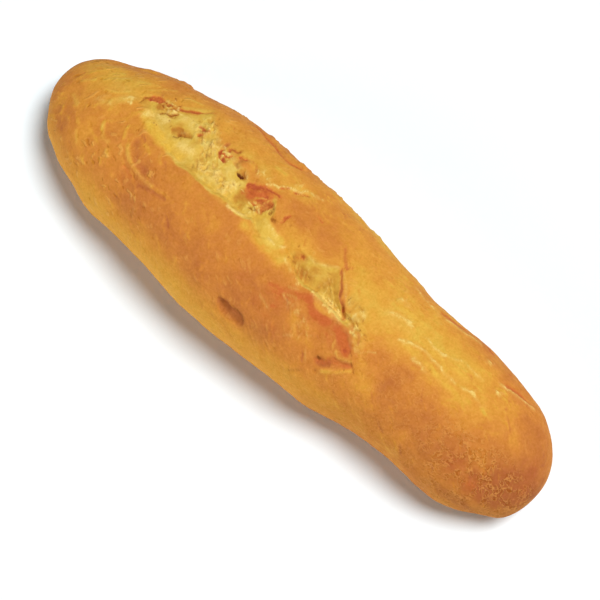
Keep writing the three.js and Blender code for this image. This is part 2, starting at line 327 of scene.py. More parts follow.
# Smooth yellow skin in the first opening, with its hollow
HOLLOW_EDGE = [(-50.2, 4), (-50.3, 4.6), (-48.1, 5), (-47.4, 6)]
SKIN_DOTS = [(-59, 2.6), (-57.9, 2.9), (-55.8, 6.7), (-53.9, 5.6), (-46.2, 6.3), (-50.5, 11.7), (-49, 10.9)]
SKIN = [
    mark([(-62.4, 3), (-59, 1.5), (-54.3, 0.9), (-51.4, -0.9), (-48.3, -0.5), (-44.3, -0.8)], 2.4,
         bake=-0.45, crumb=-0.35, lemon=0.75),
    mark([(-62.8, 3.6), (-61.5, 4.1), (-60.3, 6.2), (-56.8, 6)], 2.6, pale=0.75, torn=-1.2),
    mark([(-47, 2.4), (-44.5, 2.8), (-42.7, 3.2)], 3, lift=0.2, pale=0.6, torn=-1.2),
    mark([(-51, 0.6), (-48.5, 1.2)], 2.2, 1, 0.4, lemon=0.5, torn=-1.2),
    mark([(-52.6, 10.3), (-50.9, 11.2), (-47.8, 9.9)], 3.2, lift=0.2, pale=0.4, torn=-1),
    mark([(-61.2, 0.5), (-59.6, 1.9), (-58.5, 3.1)], 0.5, lift=0.2, pale=0.3),
    *[mark([spot], 0.6, lift=-0.15, pore=0.6) for spot in SKIN_DOTS],
    # The hollow in the skin, darkened to tan as painted shade
    mark([(-52.2, 5.7), (-51.1, 5), (-49.7, 5.5), (-47.5, 6.6)], 1.3, 0.5, 0.5,
         lift=-0.5, tan=0.4, pore=0.3, torn=-0.6),
    mark([(-51.6, 6.5), (-50.7, 6.6)], 0.8, 0.5, lift=-0.25, tan=0.35, pore=0.25),
    mark([(-50.3, 5.6), (-49.2, 6.6), (-48.8, 6.9)], 0.6, lift=0.25, pale=0.35),
    *bits(10, 43, HOLLOW_EDGE, 0.3, 0.5, lift=-0.2, pore=0.75),
]

# Torn crumb along the first opening
TORN_LINE = [(-46, 13), (-42, 10), (-38, 7)]
LOW_CRUMB_LINE = [(-37, 2.5), (-31, 0.5), (-24, 1)]
RED_BITS = [
    [(-47.1, 11.4), (-45.8, 11.4)], [(-45.4, 10.6), (-43.7, 10.9)], [(-45.1, 9), (-44.2, 9.5)],
]
TORN_CRUMB = [
    mark([(-47, 12.5), (-43.5, 10), (-39, 7), (-35, 4.5)], 5, 0.6, torn=0.8),
    mark([(-38, 3.5), (-33, 2), (-26, 1)], 4.5, 0.7, torn=0.5, pale=0.15),
    mark([(-24, 1.5), (-14, 1.5)], 3.5, 0.6, torn=0.6),
    mark([(-34, 11), (-27, 13), (-19, 11.5), (-12, 14), (-6, 17)], 4, crumb=0.15, torn=0.4, bake=-0.15),
    *[mark(run, 0.85, 0.6, 0.6, lift=-0.2, red=0.75, pore=0.25) for run in RED_BITS],
    *bits(40, 44, TORN_LINE, 1.8, 0.58, lift=-0.25, pore=0.38, red=0.1),
    *bits(34, 45, TORN_LINE, 1.9, 0.9, lift=0.3, pale=0.16),
    *bits(40, 90, TORN_LINE, 1.9, 0.4, lift=0.2, pale=0.4),
    *bits(10, 65, TORN_LINE, 1.9, 0.9, lift=0.1, lemon=0.5),
    *bits(24, 46, LOW_CRUMB_LINE, 1.6, 0.58, lift=-0.25, pore=0.38, red=0.05),
    *bits(20, 47, LOW_CRUMB_LINE, 1.8, 0.9, lift=0.25, pale=0.32),
    *bits(24, 91, LOW_CRUMB_LINE, 1.8, 0.4, lift=0.2, pale=0.4),
    *bits(8, 66, LOW_CRUMB_LINE, 1.8, 0.9, lift=0.1, lemon=0.5),
    mark([(-38.8, 5.4), (-37.9, 4.5)], 0.8, lift=-0.4, pore=0.4),
    mark([(-41, 5.2), (-39.6, 4.8)], 0.8, lift=-0.3, pore=0.3),
    mark([(-35.7, 0.2), (-35, 2)], 0.6, lift=-0.3, pore=0.35),
    mark([(-33.1, 0.2), (-30.5, 2.2)], 0.6, lift=-0.3, pore=0.35),
]

# Red crumbs at the far edge of the torn crumb
CLUSTER_LINE = [(-36, 7.8), (-33.6, 8.2), (-31.2, 9)]
CLUSTER = [
    mark([(-33.4, 8), (-32, 8.9)], 0.8, 0.8, 0.6, lift=-0.2, red=0.6, crumb=-0.4),
    mark([(-34.7, 7.1), (-33.3, 7)], 0.9, 0.7, lift=-0.15, red=0.7, pore=0.25),
    mark([(-35.1, 8.2), (-34.3, 8.7)], 0.8, 0.7, lift=-0.15, red=0.8),
    mark([(-32.5, 6.4), (-32.2, 7.1)], 0.8, 0.7, lift=-0.15, red=0.7, pore=0.25),
    mark([(-34.3, 8.7), (-32.6, 9.4)], 0.5, lift=0.25, pale=0.6),
    *bits(16, 48, CLUSTER_LINE, 1, 0.58, lift=-0.2, pore=0.25, red=0.6),
    *bits(14, 49, CLUSTER_LINE, 1, 0.55, lift=0.25, pale=0.5, red=-0.6),
    mark([(-33.6, 11.4), (-32.4, 11.2)], 0.8, 0.7, 0.3, lift=-0.2, red=0.6, pore=0.4),
    mark([(-31.5, 11.4), (-31.5, 12.6)], 0.8, 0.7, 0.3, lift=-0.2, red=0.5, pore=0.5),
    mark([(-29.9, 11), (-28, 11.5)], 0.8, 0.6, 0.3, lift=-0.3, red=0.85),
    mark([(-41.7, 18.3), (-39.7, 18)], 0.7, lift=-0.3, bake=0.45),
    mark([(-35.9, 10.4), (-35.9, 11.7)], 1, lift=-0.2, bake=0.45, red=0.2),
]

# The blister on the far edge, with the hole beside it, whose dark inside is painted shade
BLISTER = [
    mark([(-26.8, 9.8)], 3, 1, 0, lift=0.8, crumb=-0.6, bake=0.05, torn=-1),
    mark([(-30, 8.2), (-28.2, 7.6)], 0.9, lift=-0.3, bake=0.35, crumb=-0.3, red=0.15),
    # The inside of the hole is darkened as painted shade.
    mark([(-26.1, 6.3), (-24.8, 6.1)], 0.75, 0.5, 0, lift=-0.6, hole=1),
    mark([(-25.6, 7.3), (-24, 6.3)], 1.1, 0.8, 0.2, lift=-0.5, red=0.35, pore=0.3, crumb=-0.3),
    mark([(-24.9, 7.7), (-23.2, 6.4)], 0.6, lift=0.4, pale=0.65),
    mark([(-27.1, 6.2), (-26.6, 7.5)], 0.7, lift=0.2, tan=0.4, bake=0.2),
    mark([(-29.5, 7.6), (-29.3, 9.6), (-28.6, 11.2), (-26.6, 12.6), (-24.6, 12.2), (-23, 10.6)],
         0.7, 0.8, 0.3, lift=-0.25, bake=0.3),
    *bits(12, 50, [(-22.5, 9), (-20, 10.5), (-17, 12)], 1.1, 0.5, lift=0.15, pale=0.45),
]

# The red flap over the end of the first opening
STRAND_LINE = [(-16.2, -0.1), (-15.8, 1.5), (-14.7, 2.1)]
RED_FLAP = [
    mark([(-21.4, 1.4), (-19.2, 2.1), (-18, 2.8)], 2.4, 1, 0.4, tan=0.3, blush=0.15, torn=-0.6),
    patch([(-21, 3.4), (-18.6, 3.4)], 1.9, blush=0.45, tan=0.3, torn=-0.8),
    mark([(-21.3, 5.4), (-19.2, 6.8), (-17.6, 8.3), (-14.8, 8.8), (-11.8, 8.9)], 1, 0.7, 0.3,
         lift=-0.25, red=1, crumb=-0.8, torn=-1),
    mark([(-20.3, 4.9), (-18.5, 5.4), (-16.6, 6.8), (-13.9, 7.1)], 1.9, 0.7, 0.3,
         lift=-0.1, red=0.65, blush=0.5, crumb=-0.8, torn=-1),
    mark([(-19, 4), (-17.4, 5), (-16.2, 5.9)], 1.8, 1, 0.4, blush=0.6, crumb=-0.5, torn=-1),
    mark([(-21, 7), (-19.4, 8.4), (-17.9, 9.6)], 0.9, 0.8, 0.3, lift=0.3, crumb=-0.6),
    mark([(-16.5, 3), (-15.5, 4), (-14.6, 5.7)], 1.2, 0.6, 0.4, lift=-0.1, red=0.9, crumb=-0.6, torn=-1),
    mark([(-15.7, 5.2), (-14.5, 5.9)], 0.5, lift=0.1, pale=0.5, red=-0.7),
    mark([(-13.7, 2.4), (-13.1, 3.9), (-11.9, 5.3)], 1.6, 0.5, 0.2,
         lift=-0.4, red=0.65, pore=0.3, crumb=-0.5, torn=-1),
    mark([(-12.4, 5.1), (-11.5, 5.5)], 0.8, lift=-0.2, pore=0.45, red=0.2),
    mark([(-10.3, 3.3), (-10.3, 4.7)], 0.9, 0.6, 0.3, lift=-0.4, pore=0.6),
    mark([(-8.8, 2.2), (-7.9, 1.9)], 0.9, 0.6, 0.3, lift=-0.4, pore=0.6),
    *bits(10, 51, STRAND_LINE, 0.8, 0.5, lift=0.2, pale=0.7, red=-0.8),
    *bits(8, 52, STRAND_LINE, 0.9, 0.45, lift=-0.2, pore=0.6),
    mark([(-13.4, -0.1), (-10.4, 1.2)], 1.8, 0.9, 0.4, bake=-0.4, lemon=0.45, torn=-0.5),
    mark([(-21, -3.9), (-19, -3.3), (-16, -2.8)], 0.9, 0.8, 0.3, lift=0.25, pale=0.7, torn=-1),
    mark([(-17.6, -2.8), (-15.4, -2.4)], 1.2, 0.8, 0.3, lift=0.15, pale=0.4, torn=-1),
]

# The pale ridge beyond the flap
RIDGE_LINE = [
    (-18.1, 9.1), (-16.4, 10.9), (-14.4, 11.4), (-13.8, 13), (-12.4, 13.6), (-9.7, 15.1), (-8.5, 17.5),
    (-6.8, 18), (-3.9, 18.9),
]
RIDGE = [
    mark(RIDGE_LINE, 0.7, 0.9, 0.5, lift=0.35, pale=0.85),
    mark([(-13.7, 11.9), (-12.4, 13.3)], 0.8, 0.7, lift=-0.2, red=0.8),
    mark([(-10.3, 13.9), (-9.1, 15.1), (-7.1, 16.5)], 0.8, 0.7, 0.4, lift=-0.3, red=0.65),
    mark([(0.1, 12.8), (2, 12.6)], 0.9, 0.8, 0.4, lift=-0.3, red=0.75),
]

# The groove and the flakes along the far edge, with a painted highlight on the strip between groove and edge
FAR_GROOVE = [
    mark([(-40, 26), (-34.3, 24.5), (-29.7, 24.1), (-25.8, 22.9), (-22.4, 21.7), (-19.5, 22), (-16.8, 23.2)],
         1.5, 0.8, 0.3, lift=-0.45, blush=0.6, bake=0.05),
    # The strip between the groove and the edge, paler as a painted highlight
    patch([(-31, 25.8), (-26.4, 24.7), (-22.5, 24.1), (-19.5, 24.3)], 1.3, lift=0.35, bake=-0.1),
    mark([(-17.4, 24.6)], 2.4, 0.5, 0.2, lift=0.8),
    mark([(-19.6, 16.3), (-16.8, 16.3)], 1.8, 1, 0.4, lift=0.15, bake=-0.35),
    *bits(6, 70, [(-14.9, 17.3), (-12.2, 16.7), (-10.4, 17.9)], 0.7, 0.6, lift=0.2, pale=0.35),
]

# The bridge between the openings
BRIDGE_DOTS = [(2.9, 1.4), (-1.1, -3.4), (3.2, -3.5), (-3.6, 4.2)]
BRIDGE = [
    mark([(-9, -1.4), (-5.5, -2.6), (-4, -2.7), (-2, -2.6)], 2.2, 0.6, 0.4,
         bake=-0.6, crumb=0.6, lemon=0.5, pale=0.12, torn=-1),
    mark([(-10.2, 0.4), (-7, -0.6), (-4, -1.2)], 1.3, 1, 0.5, lift=0.15, pale=0.35),
    mark([(-5.5, -2.9), (-3.3, -3.2), (-2.1, -3.2)], 0.7, lift=0.25, pale=0.6),
    mark([(-0.3, -2.5), (0.2, -1.4)], 0.8, lift=0.2, pale=0.5),
    mark([(-7, 1.5), (-3, 1), (2, 0.5)], 3.4, crumb=-0.9, torn=-1.2),
    mark([(-13, -5), (-8, -5.6), (-3, -5.6), (2, -5.6)], 2.6, bake=-0.35),
    mark([(-6.1, 2.7), (-6.1, 5), (-5.5, 6.7)], 0.8, 0.8, 0.4, lift=-0.35, red=0.8),
    mark([(-6.1, 2.7), (-6.1, 3.9)], 0.5, lift=-0.2, pore=0.5),
    *[mark([spot], 0.7, lift=-0.3, pore=0.45) for spot in BRIDGE_DOTS],
]

# The second opening
OPENING_TOP = [(8, 0.9), (10.2, 0.9), (12.1, 2.2), (14.2, 3.5), (16, 4.8)]
OPENING_EDGE = [(6.7, -6), (11.3, -6.8), (15.6, -6), (19.4, -6.8), (24, -7)]
OPENING_LINE = [(14, -4), (20, -3.5), (24, -5)]
SECOND_OPENING = [
    patch([(7, -3.5), (13, -2.5), (17, -1), (20, -2.5)], 5, tan=0.25, torn=0.2),
    mark([(18.3, -5.5), (20.6, -5.3), (24.3, -6.1), (26.5, -6.5)], 2.6, 0.9, tan=-0.2, pale=0.38, torn=0.5),
    mark([(4.3, -1.3), (6.3, 0)], 1.7, 1, 0.2, lift=-0.2, red=0.45, crumb=-0.6),
    mark([(3.8, -1.7), (4.8, -3.3)], 0.8, 0.8, 0.3, lift=-0.15, pore=0.4),
    mark([(5.7, 0.2), (8, -0.3)], 0.8, 0.8, 0.3, lift=-0.15, pore=0.35, red=0.3),
    mark([(2.9, -4.6), (4.4, -5.4), (6.7, -6.2)], 0.8, lift=0.2, pale=0.4),
    mark(OPENING_TOP, 0.7, lift=0.2, pale=0.4),
    mark([(10.2, 1.3)], 0.8, lift=-0.3, pore=0.55),
    *bits(8, 53, OPENING_TOP, 0.5, 0.4, lift=-0.2, pore=0.4),
    *[mark([(7 + k, -5.4), (5.2 + k, -2.6)], 0.5, tan=0.2) for k in (0, 1.7, 3.2, 4.9)],
    *[mark([(7.8 + k, -5.6), (6.2 + k, -3)], 0.5, lift=0.1, pale=0.2) for k in (0, 1.6, 3.3)],
    *bits(12, 54, OPENING_LINE, 1.5, 0.4, lift=-0.2, pore=0.4),
    *bits(28, 55, OPENING_LINE, 1.5, 0.42, lift=0.2, pale=0.35),
    *bits(16, 92, [(9, -2.6), (14, -0.6), (19, -1)], 1.6, 0.35, lift=0.15, pale=0.32),
    *bits(12, 93, [(9, -2.6), (14, -0.6), (19, -1)], 1.6, 0.35, lift=-0.15, pore=0.32),
    *bits(12, 58, OPENING_EDGE, 0.4, 0.5, lift=0.1, pale=0.3),
]

# The crease beyond the second opening, darkened along its groove as painted shade, and the porous strip at
# its end
POROUS_LINE = [(26.2, 0.3), (28.9, -1.2), (30.7, -3.5), (33, -6.2), (35.2, -8)]
CREASE_LINE = [(17.3, 4.9), (18.9, 2.9), (19.7, 1.8), (21.2, 0.7), (22.5, -1.9), (24.3, -2.5), (25.7, -3.8)]
CREASE = [
    # The crease's groove, browned and darkened as painted shade
    mark(CREASE_LINE, 0.7, 0.8, 0.35, lift=-0.35, red=0.15, bake=0.45, pore=0.32, crumb=-0.9, torn=-1),
    mark([(25.7, -3.8), (27.6, -5.6)], 1, 0.8, 0.2, lift=-0.2, red=0.4, pore=0.28, crumb=-0.6, torn=-1),
    mark([(12.8, 11.1), (14.7, 9.1), (17.5, 7)], 0.9, 1, 0.5, lift=-0.3, red=0.3, bake=0.3),
    mark([(16.8, 6.5), (18.7, 8.4)], 0.6, lift=-0.25, bake=0.3),
    mark([(18.5, 4.6), (21.2, 2.2), (23.6, -0.2)], 0.8, lift=0.25, pale=0.3),
    mark(POROUS_LINE, 2.9, 0.8, 0.5, crumb=0.6, tan=0.08, torn=0.2),
    *bits(26, 59, POROUS_LINE, 1.4, 0.65, lift=-0.25, pore=0.42),
    *bits(26, 57, POROUS_LINE, 1.4, 0.7, lift=0.2, pale=0.42),
    mark([(29.8, -4.6), (31.8, -6.6)], 1, 0.9, 0.4, lift=-0.2, bake=0.2, crumb=-0.4),
    mark([(33.8, -6), (35.4, -7.8)], 0.7, 0.9, 0.4, lift=-0.25, bake=0.35, crumb=-0.4),
    mark([(21.4, 9.6)], 0.8, lift=-0.3, pore=0.4),
]

# The red edge of the ear, with its streaks
EAR_STRAND = [(5.1, -12.6), (8.1, -12.1), (11, -10.5), (14.7, -8.9), (16.7, -7.4)]
EAR_CORE = [(17, -8.3), (19.9, -10), (23.7, -9.9), (26.5, -8.6), (29.3, -8.7), (31.5, -9.9), (33.8, -11.9)]
EAR_STREAKS = [
    [(4.6, -16.7), (8.4, -17.7)], [(9.6, -12.3), (13.2, -10.6)], [(9.6, -10), (12.3, -8.5)],
    [(16.9, -20.1), (19.2, -18.5)], [(9.5, -12.8), (12.7, -13)],
]
EAR_GOLDS = [
    [(15.6, -14.4), (18.3, -15.6)], [(18.3, -16.6), (21.2, -15.6), (23.6, -13.5)],
    [(20, -18.1), (22.8, -17.8)], [(23.9, -16.7), (25, -17.5)],
]
EAR = [
    patch(EAR_STRAND, 2.4, blush=0.5),
    mark(EAR_CORE, 2.3, 0.9, 0.3, blush=0.6),
    mark([(21.8, -10.7), (23.7, -9.9), (25.3, -9.2)], 1.3, 0.9, 0.3, blush=0.35),
    mark([(29.4, -9.6), (31.5, -9.9), (33.4, -11.7)], 1.6, 0.9, 0.3, blush=0.6, red=0.4),
    patch([(19, -7.8), (21.6, -8.1), (24.4, -8)], 1.2, bake=-0.2),
    mark([(6.4, -14.5), (9.8, -14.5), (9.9, -15.9)], 4.5, 1, 0.4, blush=0.25),
    mark([(8.8, -16.8), (10.3, -15.6)], 0.6, 0.8, 0.4, blush=0.4),
    mark([(4, -18.3), (8, -19.5)], 4, 1, 0.5, blush=0.2),
    mark([(8, -13.3), (16.5, -11.7), (22.5, -12), (28.4, -11.3), (32.3, -11.4)], 5.5, 1, 0.4, blush=0.2),
    mark([(20.5, -12), (25, -12.3), (29.5, -12.4), (33, -13.3)], 4, 1, 0.4, blush=0.2),
    mark([(10.7, -19.7), (14.3, -20.9)], 2.4, blush=0.25),
    mark([(33.4, -11.9), (34.9, -12.8)], 1.3, 0.8, 0.3, lift=-0.2, red=0.45, blush=0.2),
    patch([(31.1, -8.1), (32.9, -8.9), (34.2, -10.1)], 1.7, bake=0.2, crumb=-0.6),
    *[patch(run, 0.5, lift=0.2, blush=-0.3, pale=0.3) for run in EAR_STREAKS],
    *[mark(run, 2.2, 1, 0.9, bake=-0.12, blush=-0.05) for run in EAR_GOLDS],
    *bits(16, 94, [(13, -12.6), (19, -15), (24, -17.5)], 1.6, 0.6, lift=0.15, pale=0.3),
    *bits(8, 95, [(29.4, -12.6), (33.6, -13)], 0.9, 0.6, lift=0.15, bake=-0.15, pale=0.08),
    *strewn(16, 8, (8, 32), (108, 122), 20, 4, 0.6, lift=0.15, blush=-0.3),
]

# The pocket under the end of the ear, its floor reddened like the ear and darkened by painted shade
POCKET = [
    # The pocket's floor: the ear's red, and browning laid on as painted shade
    mark([(29.2, -18.8), (31.2, -17.9), (33.3, -16.4), (35.5, -15.3), (37.7, -14.2)], 1.8, 0.9, 0.2,
         lift=-0.7, red=0.45, bake=0.25),
    patch([(31.4, -16.6), (33.3, -15.2)], 1.4, red=0.35),
    mark([(30, -19.2), (31.8, -18.8), (32.6, -17.6)], 1.2, 1, 0.2, lift=-0.3, bake=0.3, pore=0.2),
    mark([(32.1, -13.8), (33.7, -14.8), (34.6, -14.4), (36, -13.8), (37.3, -13.1)], 0.8, 1, 0.2,
         lift=0.35, pale=0.25, red=-0.3, bake=-0.2),
    mark([(29.1, -18.3)], 0.9, 0.7, 0, lift=-0.5, pore=0.8),
    mark([(30.4, -20.7)], 0.9, 0.8, 0.3, lift=-0.3, pore=0.5, red=0.2),
    patch([(32.2, -19.9), (35, -18), (36.9, -16.7), (38.9, -14.8)], 1,
          lift=0.3, bake=-0.35, red=-0.3, pale=0.1),
    *[mark([spot], 0.5, lift=-0.2, pore=0.5) for spot in ((35.5, -16.8), (36.4, -16.7), (37.4, -15.8))],
    patch([(35.4, -11.2), (36.5, -11.8), (37.3, -13.1), (38.2, -14), (40.2, -14.5)], 0.5,
          lift=-0.35, pore=0.5),
    mark([(36.4, -10.4), (41.2, -6.4)], 0.5, lift=0.2, pale=0.3),
    mark([(36.7, -9.3)], 0.8, lift=0.25, pale=0.35),
    mark([(38.4, -8.2)], 0.9, lift=-0.2, red=0.4),
    mark([(23, -25.5), (27.5, -22.9)], 0.5, lift=-0.3, pore=0.35),
    mark([(24, -19.6), (25.2, -20.2), (26, -21.4)], 0.6, lift=-0.25, bake=0.3),
    mark([(25, -19), (26.8, -20.8)], 0.6, lift=0.2, pale=0.2),
]

# The burst bubble low on the near side
DENT = [
    mark([(-4.4, -24.6), (-2.2, -24.8)], 1.8, 0.4, 0, lift=-0.5, bake=0.4, pore=0.15),
    mark([(-2.2, -24.9), (0.6, -24.9), (2.7, -24.8)], 2.9, 0.35, 0,
         lift=-0.8, bake=0.6, blush=0.25, pore=0.3),
    mark([(-4.6, -24.2), (0.2, -23.5), (3.1, -23.3), (4.7, -24.3)], 0.6, 0.8, 0.2, lift=-0.3, pore=0.6),
    patch([(-4.3, -26.8), (-1.2, -27.9), (2.4, -28.1), (5, -26.8)], 1.4, lift=0.25, bake=-0.08),
]

# The fold on the near side of the tail: its ridge paled as a painted highlight, with painted shade beside and
# below it
FOLD = [
    # Ridge of the fold, paler as a painted highlight
    mark([(-59, -7.8), (-56.5, -10.2), (-53.5, -12.1), (-48.7, -12.8), (-43.9, -12.8)], 1, 1, 0.4,
         lift=0.4, pale=0.2, bake=-0.25),
    mark([(-43.4, -13), (-39.4, -13.1), (-34.9, -12.9)], 1, lift=0.15, bake=-0.15),
    # Painted shade on the far side of the ridge
    mark([(-58, -5.7), (-55, -7.9), (-52.7, -10.1), (-48.5, -11.2)], 1.7, 1, 0.4, lift=-0.35, bake=0.22),
    mark([(-56.2, -13), (-52.6, -14.2), (-49.5, -14.8)], 0.8, lift=-0.3, red=0.35),
    # Painted shade along the lower edge of the fold
    mark([(-47.5, -15), (-43.6, -14), (-38, -14)], 1, lift=-0.3, bake=0.2),
    mark([(-55.2, -16.9)], 6, red=0.3),
    mark([(-44.4, -20.3), (-43.2, -21.5)], 1.1, lift=0.25, pale=0.15),
    mark([(-45.2, -20.8), (-43.8, -22.4)], 0.6, lift=-0.2, pore=0.3),
]

# The head's pale lines, raised and pale with a painted highlight along their ridges, red grooves and brown
# spots
HEAD_LINES = [
    [(43.4, 1.2), (44.9, 1.4), (47.7, 3.8), (50.5, 4.4), (54.3, 3.9), (57.1, 3.6), (61, 3.1), (63.6, 3.4)],
    [(47.6, 7.3), (49.1, 7.9), (52.4, 7.1), (54.8, 7), (59.1, 8.9), (61.5, 10), (65.4, 9.4), (68.6, 9.9)],
    [(49.5, 0.1), (52.8, 0), (55.1, -0.9)],
    [(65.9, 3.9), (69.6, 4.2), (73.7, 3.1)],
    [(35.9, 5.6), (40.3, 7.1), (43.1, 6.8)],
    [(34.4, 10.9), (38, 11.7)],
    [(34.2, 18.6), (38.4, 17.3), (44.5, 17)],
    [(64.7, 16.3), (67, 15.4)],
    [(72.9, 10.6), (74.7, 10.3)],
]
HEAD = [
    # Pale lines: their own pale colour, with a painted highlight along the ridges
    *[mark(run, 0.85, lift=0.25, pale=0.4) for run in HEAD_LINES],
    *[
        crumb for k, run in enumerate(HEAD_LINES)
        for crumb in bits(6, 80 + k, run, 0.6, 0.55, lift=0.2, pale=0.28)
    ],
    *[patch(run, 5, lemon=0.12) for run in HEAD_LINES[:2]],
    mark([(46, 0.8), (49.5, 2), (53.5, 1.6), (58, 1)], 1.5, 1, 0.9, lift=0.1, lemon=0.35),
    mark([(52, 5.4), (57, 5.6), (62, 6.4), (66, 6.6)], 1.6, 1, 0.9, lift=0.1, lemon=0.3),
    mark([(60, 0.6), (65, 1.2), (70, 1.6)], 1.4, 1, 0.9, lift=0.1, lemon=0.4),
    mark([(36, 9), (40, 9.8), (45, 10.4)], 1.4, 1, 0.9, lift=0.1, lemon=0.35),
    mark([(48.2, 16.9), (52.3, 18), (56.3, 18.9), (59.5, 18.8)], 1, 0.9, 0.3, lift=0.35, pale=0.55),
    mark([(45.6, 18), (48.9, 18.9), (53.4, 20.9), (59.1, 21.1), (62.9, 20.1)], 1.7, 0.9, 0.3,
         lift=-0.25, blush=0.65),
    mark([(72.6, 13.5), (76.9, 14.2), (80.2, 15.6), (83.6, 16)], 0.9, 0.9, 0.3, lift=0.35, pale=0.45),
    patch([(74.3, 14.4), (78.2, 16.1), (81.6, 15.8)], 1.7, lift=-0.3, blush=0.7),
    *[patch([spot], 1.3, blush=0.6) for spot in ((64.6, 18), (71.9, 18.6))],
    mark([(78.8, -12.1), (77.4, -13.6)], 4.5, bake=0.1, blush=0.3),
    mark([(84.8, -15), (87.3, -13.1)], 5, bake=0.15, blush=0.35),
    mark([(96.9, -1.7)], 5, bake=0.1, blush=0.35),
    mark([(82.2, -8.6), (84.6, -8)], 3.5, bake=-0.12),
    mark([(86.6, 3.8), (88.3, 2.6)], 3.5, bake=-0.12),
    mark([(55.9, 0.7)], 0.7, lift=-0.3, pore=0.45),
    mark([(63.7, -6.3)], 0.7, lift=-0.3, pore=0.35),
]

# Broad, faint changes of colour
TINTS = [
    patch([(22.1, 8.2), (27.8, 2.2), (32.9, -3.1), (37.7, -8.6), (43.9, -15)], 6.5, bake=-0.22),
    patch([(66.4, -3.6), (72, -5.9), (73.7, 3.1)], 5, bake=-0.15),
    patch([(51.4, -5.2), (50.5, -9.5), (50.2, -13.4)], 6, bake=0.15),
    patch([(89, -13.3), (94, -10.4), (96.2, -6.4)], 5, bake=0.15),
    patch([(-19.4, -10.3)], 6, bake=-0.12),
    patch([(2.2, -12.8), (7.9, -12.7)], 3.5, bake=-0.12),
    patch([(31.1, -10.3), (33, -10.4), (34.3, -11.7)], 2, blush=0.5, bake=0.25),
    mark([(-78.4, 5.9), (-74.9, 6), (-71.2, 5.4)], 3, 1, 0.4, pale=0.15),
    mark([(36.5, 5.1), (41.7, 5.9)], 4, 1, 0.4, pale=0.14),
    patch([(50, 3.5), (58, 6), (66, 7)], 5, bake=0.1),
    patch([(-87.7, -10.4), (-82.9, -13.1)], 5, bake=0.15),
    patch([(-57.1, -18.7), (-51.8, -18.7)], 5, bake=-0.15),
    patch([(79.7, -20.1), (84.2, -19.3), (87.8, -17.7)], 4, bake=0.2),
    patch([(12.7, -21.5), (17, -21.4), (21.1, -21.4)], 4.5, bake=0.1),
    patch([(-4.4, -27.6), (1.7, -28.2)], 3.5, bake=0.15),
    mark([(-32.1, -1.5), (-27.9, -2.6), (-22.6, -3)], 2.4, 1, 0.4, lemon=0.4),
]

# Streaks of the tail, and single spots and flakes
TAIL_STREAKS = [
    [(-89.3, 0.9), (-87.3, 1.8), (-86, 3)],
    [(-83, 5.2), (-80.8, 7.8), (-77.4, 10.2)],
    [(-80, 2.2), (-75.9, 3.8), (-73.1, 6)],
    [(-74.2, 11.1), (-70.9, 13), (-68, 14.5)],
    [(-68.4, 10.9), (-66, 14.4), (-63.2, 16.4)],
    [(-59.9, 16.8), (-55.6, 17.3), (-52.7, 17.7)],
    [(-88.2, -4.4), (-83.2, -6.5)],
    [(-71, -7.6), (-68.1, -10.2), (-65.5, -10.8)],
    [(-77.3, -12.9), (-74.7, -15.6)],
    [(-63.9, -12.9), (-62.4, -14.2)],
]
TAIL_FLAKES = [
    [(-71.6, -6.1), (-70.5, -8.9)],
    [(-64.2, -3.4), (-62.5, -7.2)],
    [(-88.2, -8.8), (-86.7, -11.1)],
]
SPOTS = [
    *[mark(run, 0.8, 1, 0.4, lift=0.25, bake=-0.35) for run in TAIL_FLAKES],
    mark([(-79.5, -1.1), (-76.7, 1.8)], 0.7, lift=0.2, pale=0.3),
    mark([(-79.6, -2.2), (-76, -0.7), (-73.2, 0.4)], 0.9, lift=0.2, pale=0.3),
    mark([(-76.5, -1), (-74.3, 0.7), (-72.7, 2.5), (-70.7, 3.9)], 2.4, 1, 0.5, lemon=0.3, pale=0.18),
    *bits(5, 67, [(-70.3, 3.2), (-68.9, 4.1)], 0.5, 0.4, lift=0.2, pale=0.55),
    mark([(-24.1, -18.6)], 0.8, lift=-0.3, pore=0.4),
    mark([(-27.5, -20.3)], 0.7, lift=-0.3, pore=0.3),
    mark([(-21.8, -21.1)], 0.7, lift=-0.3, pore=0.25),
    mark([(-3.9, -15.8)], 4.5, red=0.3),
    mark([(-86, 14.5), (-74, 19.5)], 7, 1, 0, lift=-0.7),
    mark([(-78.5, 19.2), (-76.8, 19.4)], 2.2, 0.7, 0.1, lift=0.4),
    mark([(-67, 22.3), (-65, 22.9)], 2.2, 0.6, 0.1, lift=0.45),
    *[mark(run, 0.85, 1, 0.5, lift=0.2, bake=-0.2, pale=0.15) for run in TAIL_STREAKS],
]

# Small wrinkles all over the crust: raised ones paler, partly their own colour and partly a painted
# highlight, and sunken ones browner as painted shade
WRINKLES = [
    *strewn(90, 1, (-94, -45), (100, 168), 47, 4.5, 0.65, lift=0.14, bake=-0.15),
    *strewn(50, 2, (-94, -60), (30, 100), -43, 4.5, 0.65, lift=0.14, bake=-0.18),
    *strewn(70, 3, (-45, 25), (112, 168), 47, 4.5, 0.65, lift=0.1, bake=-0.12),
    *strewn(60, 4, (-40, 35), (15, 62), -20, 4.5, 0.65, lift=0.12, bake=-0.15),
    *strewn(110, 5, (34, 84), (45, 98), -10, 4, 0.6, lift=0.12, bake=-0.12),
    *strewn(60, 6, (34, 98), (100, 168), 40, 2.5, 0.55, lift=0.1, bake=-0.15),
    *strewn(70, 7, (-94, 98), (20, 168), 47, 3.5, 0.55, lift=-0.12, bake=0.2),
    *strewn(22, 9, (-72, 20), (8, 24), 0, 3, 1.1, lift=0.3),
]

# All marks
MARKS = [
    *GASH, *SKIN, *TORN_CRUMB, *CLUSTER, *BLISTER, *RED_FLAP, *RIDGE, *FAR_GROOVE, *BRIDGE,
    *SECOND_OPENING, *CREASE, *EAR, *POCKET, *DENT, *FOLD, *HEAD, *TINTS, *SPOTS, *WRINKLES,
]

